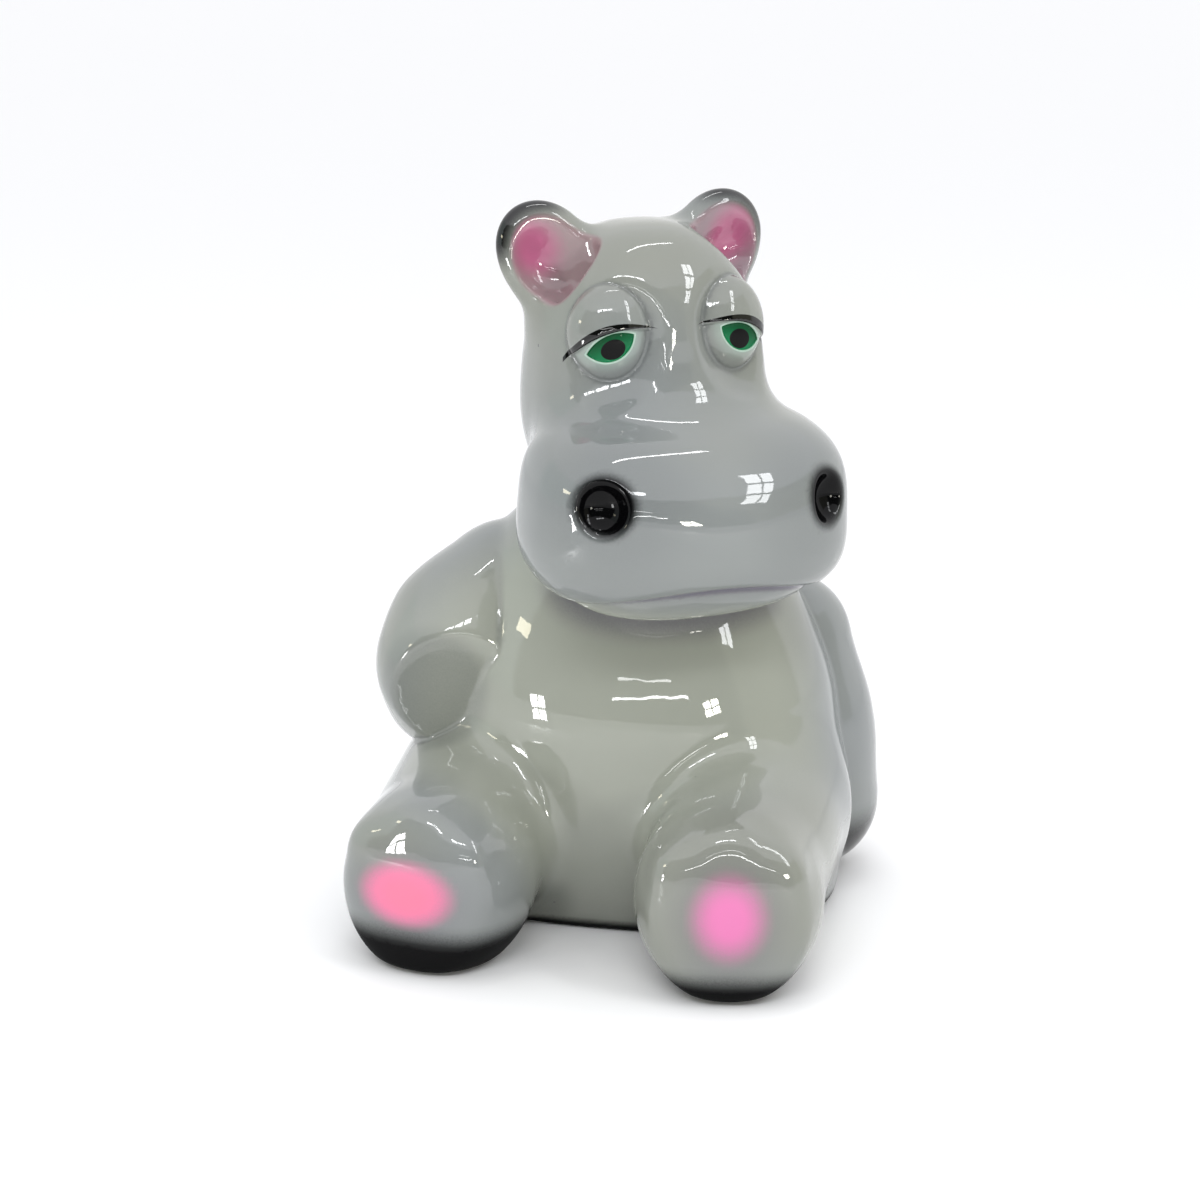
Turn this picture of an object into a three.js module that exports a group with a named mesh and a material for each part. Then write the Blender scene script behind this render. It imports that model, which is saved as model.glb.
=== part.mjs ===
import * as THREE from 'three';

// A seated hippo, cast in one piece. Sizes are millimetres and angles are degrees.
// The figure faces -Y, its left side is +X and up is +Z; it sits on the floor at z = 0.
// A shape is a function of a place that gives the distance to its surface, negative inside.

// The head has its own axes (side, back, up) from the middle of the skull.
const HEAD = { centre: [7.8, 44.6, 205.6], turn: { yaw: 31.2, pitch: 1.7, roll: -1.7 }, blend: 1.5 };
const SKULL = { centre: [1.9, 5.9, 5.7], radii: [44.1, 39.1, 54.2], power: 2.5, taper: 0.0022 };
const NAPE = { foot: [10, 52, -50], top: [5, 20, -12], footRadius: 34, topRadius: 30, blend: 22 };
const MUZZLE = {
  centre: [3, -30.1, -37.5],
  turn: { pitch: 8.7, roll: 1.5 },
  radii: [60.3, 45.1, 33.5],
  power: 3.4,
  depthPower: 2.3,
  spread: 0.0012,
  lean: 0.08,
};
// How softly the muzzle meets the skull: less to the sides, where a fold marks the cheeks.
const MUZZLE_FILLET = { middle: 24, sides: 9, narrowing: 0.3, rounding: 12 };
const MOUTH = { height: -60.8, middle: -3, droop: 0.0032, blend: 4 };
const JAW = { centre: [5, -27, -60], radii: [48.5, 38, 18.5], power: 2.6, depthPower: 2.2, blend: 0.8 };
const NOSTRILS = {
  left: [45.1, -64.4, -32],
  right: [-39.4, -63, -27.1],
  radii: [9.6, 10.4, 10.2],
  proud: 3.5,
  inward: [0, 10, 4],
  blend: 2.5,
};
const EAR = {
  out: 32.7,
  back: 10.9,
  up: 48.2,
  yaw: 2.5,
  pitch: -6.3,
  roll: 38.4,
  radii: [17.3, 8.4, 20.9],
  stem: { foot: [-6, 0, -22], top: [-2, 0, -6], footRadius: 12, topRadius: 10, blend: 12 },
  blend: 8,
};
const EAR_BOWL = { place: [-1.6, -12, -1.5], yaw: 10.5, radii: [14.6, 9, 17.8], blend: 3 };
const EAR_POCKET = { place: [4, -7.5, -1], yaw: 2.5, radii: [9.2, 8.5, 12.5], blend: 3 };

// Each eye has axes of its own too: outwards, back and up from the middle of the eyeball.
const EYE = {
  out: 22.6,
  back: -20.6,
  up: 24,
  middle: 1.6,
  yaw: 17,
  pitch: -6,
  tilt: 22,
  cornerDrop: 3.2,
  radii: [13.8, 9.5, 16.5],
  blend: 1.2,
};
const EYE_SOCKET = { centre: [1, -9.5, -1], radii: [20, 9.5, 23], blend: 5, reach: 40 };
const UPPER_LID = { proud: 1.1, arch: 4, curve: 0.0185, middle: 2, blend: 0.8 };
const EYE_OPENING = { halfWidth: 9.1, top: 3.4, bottom: 6, inset: 0.2, sunk: 0.9, blend: 0.8, seam: 0.3 };

// The body.
const BELLY = { centre: [0.8, 74, 68.2], radii: [78.1, 62.1, 64.2] };
const SEAT = { centre: [1.3, 78.5, 17.6], radii: [80.1, 60.9, 54.1], power: 2.6, blend: 26 };
const CHEST = { centre: [-4.7, 75.7, 112.7], radii: [60.4, 43.8, 51.4], blend: 36 };
const NECK = { foot: [2, 80, 122], top: [6, 62, 196], footRadius: 42, topRadius: 31, blend: 20 };
const TAIL = {
  root: [4, 128, 52],
  bend: [8, 143, 30],
  tip: [15, 146, 18],
  rootRadius: 9,
  bendRadius: 5,
  tipRadius: 5.5,
  bendBlend: 4,
  blend: 5,
};
const LEFT_LEG = {
  sole: [53.7, -41.5, 30.1],
  yaw: 8,
  hip: [50.3, 57.2, 41],
  ankleRadius: 33,
  hipRadius: 36,
  foot: [29.4, 41.2, 32.7],
};
const RIGHT_LEG = {
  sole: [-63.7, -35.9, 28],
  yaw: -12.4,
  hip: [-57.2, 58.9, 39.5],
  ankleRadius: 34.6,
  hipRadius: 35.5,
  foot: [29.9, 30.3, 33.6],
};
const LEG_BLEND = 11;
const FOOT = { ankle: [0, 30, 2], middle: [0, 20, 0], blend: 12 };
const TOES = { spread: [-46, 0, 46], reach: 0.74, back: 11, radii: [10, 13, 9], blend: 6 };
const SOLE = { lean: 0.05, dish: 0.004, proud: 2, blend: 5 };
const LEFT_ARM = {
  shoulder: [54.2, 105.1, 94.5],
  elbow: [57.5, 102.7, 60.2],
  paw: [65, 104.8, 29.3],
  radii: [27, 29, 28.7],
  elbowBlend: 20,
  blend: 2,
};
const RIGHT_ARM = {
  shoulder: [-50, 71.1, 119.8],
  upper: [-63, 56.5, 103],
  elbow: [-67.5, 46.5, 92],
  radii: [26.3, 28.2, 28.2],
  elbowBlend: 16,
  blend: 2,
};
const FOREARM = {
  elbow: [-73.9, 53, 79.2],
  wrist: [-58, 112, 84],
  elbowRadius: 19.9,
  wristRadius: 17,
  blend: 6,
};
const ELBOW_FLAT = { place: [-80, 24.5, 92], facing: [0.194, -0.959, -0.207], blend: 1.5 };
const RIGHT_PAW = { centre: [-50, 120, 78], radii: [17, 12, 20], blend: 8 };
const FINGERS = { from: [-44, 128, 74], apart: 9, curl: 1, radii: [9, 6, 6], blend: 3 };
const FLOOR_BLEND = 4;

// How finely the surface is followed.
const ROOM = { low: [-112, -54, -5], high: [112, 162, 290] };
const CELL = 2.25;
const BLOCK = 5;
const FAR = 1.5;
const EDGE_MARGIN = 0.2;
const SETTLE_ROUNDS = 2;
const TRIANGLES = 9400;
const FACE_CARE = { places: [[22, -30, 24], [-20, -30, 24], [3, -60, -55]], reach: 24, weight: 6 };
const GRADIENT_STEP = 0.25;
const LEAST_STEEPNESS = 0.3;
const LONGEST_MOVE = CELL / 3;
const FLAT_TOLERANCE = 0.05;
const TINY = 1e-9;

// What a triangle may become while triangles are saved.
const THINNEST = 0.04;
const LEAST_AGREEMENT = 0.3;
const LENGTH_COST = 1e-5;
const FLATNESS = 1e-4;

function smoothMin(a, b, blend) {
  const overlap = Math.max(blend - Math.abs(a - b), 0) / blend;
  return Math.min(a, b) - overlap * overlap * blend * 0.25;
}

function smoothMax(a, b, blend) {
  return -smoothMin(-a, -b, blend);
}

function join(first, second, blend) {
  return (x, y, z) => smoothMin(first(x, y, z), second(x, y, z), blend);
}

function carve(shape, tool, blend) {
  return (x, y, z) => smoothMax(shape(x, y, z), -tool(x, y, z), blend);
}

function rotation({ yaw = 0, pitch = 0, roll = 0 } = {}) {
  const [x, y, z] = [pitch, roll, yaw].map(THREE.MathUtils.degToRad);
  return new THREE.Matrix4().makeRotationFromEuler(new THREE.Euler(x, y, z, 'ZXY'));
}

// The place that lies at an offset along turned axes from a centre.
function offsetFrom(centre, offset, turn) {
  const point = new THREE.Vector3(...offset).applyMatrix4(rotation(turn));
  return point.add(new THREE.Vector3(...centre)).toArray();
}

// Moves a shape to a centre and turns it there; mirror is -1 to swap its two sides.
function placed(shape, centre, turn, mirror = 1) {
  const axes = rotation(turn).elements;
  const [centreX, centreY, centreZ] = centre;
  return (x, y, z) => {
    const dx = x - centreX;
    const dy = y - centreY;
    const dz = z - centreZ;
    return shape(
      mirror * (dx * axes[0] + dy * axes[1] + dz * axes[2]),
      dx * axes[4] + dy * axes[5] + dz * axes[6],
      dx * axes[8] + dy * axes[9] + dz * axes[10],
    );
  };
}

function ellipsoid([sideRadius, backRadius, upRadius]) {
  return (x, y, z) => {
    const [a, b, c] = [x / sideRadius, y / backRadius, z / upRadius];
    const scale = Math.sqrt(a * a + b * b + c * c);
    const slope = Math.hypot(a / sideRadius, b / backRadius, c / upRadius);
    return slope < TINY ? -Math.min(sideRadius, backRadius, upRadius) : (scale * (scale - 1)) / slope;
  };
}

// A rounded block: higher powers fill its corners, seen from the front and in depth.
function pillow([sideRadius, backRadius, upRadius], power, depthPower = power) {
  return (x, y, z) => {
    const [a, b, c] = [Math.abs(x) / sideRadius, Math.abs(y) / backRadius, Math.abs(z) / upRadius];
    const front = Math.max(a ** power + c ** power, TINY);
    const sum = front ** (depthPower / power) + b ** depthPower;
    const outer = sum ** (1 / depthPower - 1);
    const inner = outer * front ** (depthPower / power - 1);
    const slope = Math.hypot(
      (inner * a ** (power - 1)) / sideRadius,
      (outer * b ** (depthPower - 1)) / backRadius,
      (inner * c ** (power - 1)) / upRadius,
    );
    return (sum ** (1 / depthPower) - 1) / Math.max(slope, TINY);
  };
}

// A limb between two places, with a radius at each end.
function limb(start, end, startRadius, endRadius) {
  const along = end.map((value, axis) => value - start[axis]);
  const lengthSquared = along.reduce((sum, value) => sum + value * value, 0);
  return (x, y, z) => {
    const dx = x - start[0];
    const dy = y - start[1];
    const dz = z - start[2];
    const share = (dx * along[0] + dy * along[1] + dz * along[2]) / lengthSquared;
    const t = Math.min(Math.max(share, 0), 1);
    const [ex, ey, ez] = [dx - t * along[0], dy - t * along[1], dz - t * along[2]];
    return Math.sqrt(ex * ex + ey * ey + ez * ez) - (startRadius + (endRadius - startRadius) * t);
  };
}

function makeTorso() {
  const belly = placed(ellipsoid(BELLY.radii), BELLY.centre);
  const seat = placed(pillow(SEAT.radii, SEAT.power), SEAT.centre);
  const chest = placed(ellipsoid(CHEST.radii), CHEST.centre);
  return join(join(belly, seat, SEAT.blend), chest, CHEST.blend);
}

// A leg stretched out on the floor, its foot ending in three low toes and a nearly flat sole.
function makeLeg({ sole, yaw, hip, ankleRadius, hipRadius, foot }) {
  const ankle = offsetFrom(sole, FOOT.ankle, { yaw });
  let shape = limb(ankle, hip, ankleRadius, hipRadius);
  const middle = offsetFrom(sole, FOOT.middle, { yaw });
  shape = join(shape, placed(ellipsoid(foot), middle, { yaw }), FOOT.blend);
  for (const angle of TOES.spread.map(THREE.MathUtils.degToRad)) {
    const side = Math.sin(angle) * foot[0] * TOES.reach;
    const up = Math.cos(angle) * foot[2] * TOES.reach;
    const toe = offsetFrom(sole, [side, TOES.back, up], { yaw });
    shape = join(shape, placed(ellipsoid(TOES.radii), toe, { yaw }), TOES.blend);
  }
  const behindSole = (x, y, z) => y - SOLE.lean * z - SOLE.dish * (x * x + z * z) + SOLE.proud;
  return carve(shape, placed(behindSole, sole, { yaw }), SOLE.blend);
}

// The left arm hangs down beside the body with its paw on the floor.
function makeLeftArm() {
  const [shoulderRadius, elbowRadius, pawRadius] = LEFT_ARM.radii;
  const upper = limb(LEFT_ARM.shoulder, LEFT_ARM.elbow, shoulderRadius, elbowRadius);
  const lower = limb(LEFT_ARM.elbow, LEFT_ARM.paw, elbowRadius, pawRadius);
  return join(upper, lower, LEFT_ARM.elbowBlend);
}

// The right elbow points forwards and the forearm goes back, with the paw on the hip.
function makeRightArm() {
  const [shoulderRadius, upperRadius, elbowRadius] = RIGHT_ARM.radii;
  const shoulder = limb(RIGHT_ARM.shoulder, RIGHT_ARM.upper, shoulderRadius, upperRadius);
  const upper = limb(RIGHT_ARM.upper, RIGHT_ARM.elbow, upperRadius, elbowRadius);
  const forearm = limb(FOREARM.elbow, FOREARM.wrist, FOREARM.elbowRadius, FOREARM.wristRadius);
  let arm = join(join(shoulder, upper, RIGHT_ARM.elbowBlend), forearm, FOREARM.blend);
  const [facingX, facingY, facingZ] = ELBOW_FLAT.facing;
  const beyondFlat = (x, y, z) => -(x * facingX + y * facingY + z * facingZ);
  arm = carve(arm, placed(beyondFlat, ELBOW_FLAT.place), ELBOW_FLAT.blend);
  arm = join(arm, placed(ellipsoid(RIGHT_PAW.radii), RIGHT_PAW.centre), RIGHT_PAW.blend);
  for (const finger of [-1, 0, 1]) {
    const [x, y, z] = FINGERS.from;
    const place = [x, y - FINGERS.curl * Math.abs(finger), z + FINGERS.apart * finger];
    arm = join(arm, placed(ellipsoid(FINGERS.radii), place), FINGERS.blend);
  }
  return arm;
}

function makeTail() {
  const start = limb(TAIL.root, TAIL.bend, TAIL.rootRadius, TAIL.bendRadius);
  const end = limb(TAIL.bend, TAIL.tip, TAIL.bendRadius, TAIL.tipRadius);
  return join(start, end, TAIL.bendBlend);
}

// The skull narrows upwards a little.
function makeSkull() {
  const skull = placed(pillow(SKULL.radii, SKULL.power), SKULL.centre);
  return (x, y, z) => skull(x / (1 - SKULL.taper * z), y, z);
}

// The muzzle leans out a little downwards and stops at the mouth, a line that droops to both ends.
function makeMuzzle() {
  const block = pillow(MUZZLE.radii, MUZZLE.power, MUZZLE.depthPower);
  const leaning = (x, y, z) => block(x / (1 - MUZZLE.spread * z), y - MUZZLE.lean * z, z);
  const belowMouth = (x, y, z) => z - MOUTH.height + MOUTH.droop * (x - MOUTH.middle) ** 2;
  return carve(placed(leaning, MUZZLE.centre, MUZZLE.turn), belowMouth, MOUTH.blend);
}

function withMuzzle(skull) {
  const muzzle = makeMuzzle();
  const { middle, sides, narrowing, rounding } = MUZZLE_FILLET;
  return (x, y, z) => {
    const fillet = middle - narrowing * Math.hypot(x - MUZZLE.centre[0], rounding);
    return smoothMin(skull(x, y, z), muzzle(x, y, z), Math.max(fillet, sides));
  };
}

function earPlace(side) {
  return [side * EAR.out, EAR.back, EAR.up];
}

function makeEar(side) {
  const turn = { yaw: side * EAR.yaw, pitch: EAR.pitch, roll: side * EAR.roll };
  const disc = placed(ellipsoid(EAR.radii), earPlace(side), turn);
  const { foot, top, footRadius, topRadius, blend } = EAR.stem;
  const stem = placed(limb(foot, top, footRadius, topRadius), earPlace(side), {}, side);
  return join(disc, stem, blend);
}

// A hollow in the front of an ear: the wide bowl, or the deeper pocket in its outer part.
function makeEarHollow(side, { place, yaw, radii }) {
  const turn = { yaw: side * yaw, pitch: EAR.pitch, roll: side * EAR.roll };
  const [out, back, up] = place;
  const middle = offsetFrom(earPlace(side), [side * out, back, up], turn);
  return placed(ellipsoid(radii), middle, turn);
}

// The almond opening of the eye, from an upper and a lower arc through its corners.
function almond(across, above) {
  const { halfWidth, top, bottom } = EYE_OPENING;
  const topRadius = (halfWidth * halfWidth + top * top) / (2 * top);
  const bottomRadius = (halfWidth * halfWidth + bottom * bottom) / (2 * bottom);
  const upperArc = Math.hypot(across, above + topRadius - top) - topRadius;
  const lowerArc = Math.hypot(across, above - bottomRadius + bottom) - bottomRadius;
  return Math.max(upperArc, lowerArc);
}

// Sets one eye into the head: a shallow socket, a full eyelid, and the eyeball in its opening.
function withEye(head, side) {
  const eyelid = ellipsoid(EYE.radii);
  const upperLid = ellipsoid(EYE.radii.map((radius) => radius + UPPER_LID.proud));
  const eyeball = ellipsoid(EYE.radii.map((radius) => radius - EYE_OPENING.sunk));
  const socket = placed(ellipsoid(EYE_SOCKET.radii), EYE_SOCKET.centre);
  const tilt = THREE.MathUtils.degToRad(EYE.tilt);
  const centre = [EYE.middle + side * EYE.out, EYE.back, EYE.up];
  const axes = rotation({ yaw: side * EYE.yaw, pitch: EYE.pitch }).elements;
  return (x, y, z) => {
    const distance = head(x, y, z);
    const dx = x - centre[0];
    const dy = y - centre[1];
    const dz = z - centre[2];
    if (dx * dx + dy * dy + dz * dz > EYE_SOCKET.reach ** 2) return distance;
    const out = side * (dx * axes[0] + dy * axes[1] + dz * axes[2]);
    const back = dx * axes[4] + dy * axes[5] + dz * axes[6];
    const up = dx * axes[8] + dy * axes[9] + dz * axes[10];
    const across = out * Math.cos(tilt) - (up + EYE.cornerDrop) * Math.sin(tilt);
    const above = out * Math.sin(tilt) + (up + EYE.cornerDrop) * Math.cos(tilt);
    const lidEdge = UPPER_LID.arch - UPPER_LID.curve * (across - UPPER_LID.middle) ** 2;
    const lid = smoothMax(upperLid(out, back, up), lidEdge - above, UPPER_LID.blend);
    const opening = Math.max(almond(across, above) + EYE_OPENING.inset, back);
    let result = smoothMax(distance, -socket(out, back, up), EYE_SOCKET.blend);
    result = smoothMin(result, eyelid(out, back, up), EYE.blend);
    result = smoothMin(result, lid, UPPER_LID.blend);
    result = smoothMax(result, -opening, EYE_OPENING.blend);
    return smoothMin(result, eyeball(out, back, up), EYE_OPENING.seam);
  };
}

// A nostril is a bowl that opens straight out from the muzzle.
function makeNostril(place) {
  const [inX, inY, inZ] = NOSTRILS.inward;
  const middle = [MUZZLE.centre[0] + inX, MUZZLE.centre[1] + inY, place[2] + inZ];
  const outward = new THREE.Vector3(...place).sub(new THREE.Vector3(...middle)).setLength(NOSTRILS.proud);
  return placed(ellipsoid(NOSTRILS.radii), outward.add(new THREE.Vector3(...place)).toArray());
}

function makeHead() {
  const nape = limb(NAPE.foot, NAPE.top, NAPE.footRadius, NAPE.topRadius);
  let head = withMuzzle(join(makeSkull(), nape, NAPE.blend));
  for (const side of [-1, 1]) {
    head = join(head, makeEar(side), EAR.blend);
  }
  for (const side of [-1, 1]) {
    for (const hollow of [EAR_BOWL, EAR_POCKET]) {
      head = carve(head, makeEarHollow(side, hollow), hollow.blend);
    }
    head = withEye(head, side);
  }
  for (const place of [NOSTRILS.right, NOSTRILS.left]) {
    head = carve(head, makeNostril(place), NOSTRILS.blend);
  }
  const jaw = placed(pillow(JAW.radii, JAW.power, JAW.depthPower), JAW.centre);
  return join(head, jaw, JAW.blend);
}

function makeHippo() {
  let hippo = makeTorso();
  for (const leg of [RIGHT_LEG, LEFT_LEG]) {
    hippo = join(hippo, makeLeg(leg), LEG_BLEND);
  }
  hippo = join(hippo, makeLeftArm(), LEFT_ARM.blend);
  hippo = join(hippo, makeRightArm(), RIGHT_ARM.blend);
  hippo = join(hippo, makeTail(), TAIL.blend);
  hippo = join(hippo, limb(NECK.foot, NECK.top, NECK.footRadius, NECK.topRadius), NECK.blend);
  hippo = join(hippo, placed(makeHead(), HEAD.centre, HEAD.turn), HEAD.blend);
  const underFloor = (x, y, z) => z;
  return carve(hippo, underFloor, FLOOR_BLEND);
}

// The distance of a shape's surface at every corner of a room of cells. The corners of a block that is
// far from the surface all take the distance at the middle of the block.
function sample(shape) {
  const counts = ROOM.low.map((value, axis) => Math.ceil((ROOM.high[axis] - value) / CELL) + 1);
  const strides = [1, counts[0], counts[0] * counts[1]];
  const place = (corner) => [
    ROOM.low[0] + (corner % counts[0]) * CELL,
    ROOM.low[1] + (Math.floor(corner / strides[1]) % counts[1]) * CELL,
    ROOM.low[2] + Math.floor(corner / strides[2]) * CELL,
  ];
  const distances = new Float64Array(counts[0] * counts[1] * counts[2]);
  const fillBlock = (first) => {
    const ends = first.map((index, axis) => Math.min(index + BLOCK, counts[axis]));
    const middle = first.map((index, axis) => ROOM.low[axis] + (index + BLOCK / 2) * CELL);
    const rough = shape(...middle);
    const near = Math.abs(rough) < FAR * BLOCK * CELL;
    for (let k = first[2]; k < ends[2]; k += 1) {
      for (let j = first[1]; j < ends[1]; j += 1) {
        for (let i = first[0]; i < ends[0]; i += 1) {
          const corner = i + j * strides[1] + k * strides[2];
          distances[corner] = near ? shape(...place(corner)) : rough;
        }
      }
    }
  };
  for (let k = 0; k < counts[2]; k += BLOCK) {
    for (let j = 0; j < counts[1]; j += BLOCK) {
      for (let i = 0; i < counts[0]; i += BLOCK) fillBlock([i, j, k]);
    }
  }
  return { counts, strides, place, distances };
}

// The surface between the inside and outside corners of every cell. A cell is split into six
// tetrahedra, one for each order in which the three axes lead from its first corner to its last.
function surfaceOf(shape) {
  const { counts, strides, place, distances } = sample(shape);
  const points = [];
  const faces = [];
  const known = new Map();
  const orders = [[0, 1, 2], [0, 2, 1], [1, 0, 2], [1, 2, 0], [2, 0, 1], [2, 1, 0]];
  const crossing = (first, second) => {
    const [a, b] = first < second ? [first, second] : [second, first];
    const key = a * distances.length + b;
    if (!known.has(key)) {
      const share = distances[a] / (distances[a] - distances[b]);
      const kept = THREE.MathUtils.clamp(share, EDGE_MARGIN, 1 - EDGE_MARGIN);
      const from = place(a);
      known.set(key, points.length / 3);
      points.push(...place(b).map((value, axis) => from[axis] + kept * (value - from[axis])));
    }
    return known.get(key);
  };
  const addFace = (a, b, c, inside, outside) => {
    const [p, q, r] = [a, b, c].map((index) => new THREE.Vector3().fromArray(points, index * 3));
    const outward = new THREE.Vector3(...place(outside)).sub(new THREE.Vector3(...place(inside)));
    const normal = q.sub(p).cross(r.sub(p));
    faces.push(...(normal.dot(outward) > 0 ? [a, b, c] : [a, c, b]));
  };
  const splitCell = (corner) => {
    for (const order of orders) {
      const tetrahedron = [corner];
      for (const axis of order) tetrahedron.push(tetrahedron.at(-1) + strides[axis]);
      const inside = tetrahedron.filter((index) => distances[index] < 0);
      const outside = tetrahedron.filter((index) => distances[index] >= 0);
      if (inside.length === 1 || outside.length === 1) {
        const [alone, others] = inside.length === 1 ? [inside[0], outside] : [outside[0], inside];
        const ring = others.map((other) => crossing(alone, other));
        addFace(...ring, inside[0], outside[0]);
      }
      if (inside.length === 2) {
        const [a, b] = outside.map((index) => crossing(inside[0], index));
        const [d, c] = outside.map((index) => crossing(inside[1], index));
        addFace(a, b, c, inside[0], outside[0]);
        addFace(a, c, d, inside[0], outside[0]);
      }
    }
  };
  for (let k = 0; k < counts[2] - 1; k += 1) {
    for (let j = 0; j < counts[1] - 1; j += 1) {
      for (let i = 0; i < counts[0] - 1; i += 1) {
        const corner = i + j * strides[1] + k * strides[2];
        if (Math.abs(distances[corner]) < 2 * CELL) splitCell(corner);
      }
    }
  }
  return { points: Float64Array.from(points), faces: Int32Array.from(faces) };
}

// Moves each point of a mesh straight onto the surface of the shape.
function settle({ points }, shape) {
  for (let start = 0; start < points.length; start += 3) {
    const [x, y, z] = points.subarray(start, start + 3);
    const distance = shape(x, y, z);
    const gradient = [
      shape(x + GRADIENT_STEP, y, z) - distance,
      shape(x, y + GRADIENT_STEP, z) - distance,
      shape(x, y, z + GRADIENT_STEP) - distance,
    ].map((difference) => difference / GRADIENT_STEP);
    const steepness = gradient.reduce((sum, value) => sum + value * value, 0);
    const wanted = distance / Math.max(steepness, LEAST_STEEPNESS);
    const move = THREE.MathUtils.clamp(wanted, -LONGEST_MOVE, LONGEST_MOVE);
    gradient.forEach((value, axis) => {
      points[start + axis] -= move * value;
    });
  }
}

// A queue that gives back the entry with the lowest cost first.
class CostQueue {
  constructor() {
    this.entries = [];
  }

  push(entry) {
    const { entries } = this;
    let place = entries.length;
    entries.push(entry);
    while (place > 0) {
      const parent = (place - 1) >> 1;
      if (entries[parent].cost <= entry.cost) break;
      entries[place] = entries[parent];
      place = parent;
    }
    entries[place] = entry;
  }

  pop() {
    const { entries } = this;
    const lowest = entries[0];
    const last = entries.pop();
    if (entries.length > 0) {
      let place = 0;
      for (;;) {
        let child = 2 * place + 1;
        if (child >= entries.length) break;
        if (child + 1 < entries.length && entries[child + 1].cost < entries[child].cost) child += 1;
        if (entries[child].cost >= last.cost) break;
        entries[place] = entries[child];
        place = child;
      }
      entries[place] = last;
    }
    return lowest;
  }
}

// How much the shape of a place on the figure counts when triangles are saved; the face counts more.
const faceSpots = FACE_CARE.places.map((place) => (
  new THREE.Vector3(...offsetFrom(HEAD.centre, place, HEAD.turn))
));

function careAt(point) {
  const near = faceSpots.some((spot) => spot.distanceTo(point) < FACE_CARE.reach);
  return near ? FACE_CARE.weight : 1;
}

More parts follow.
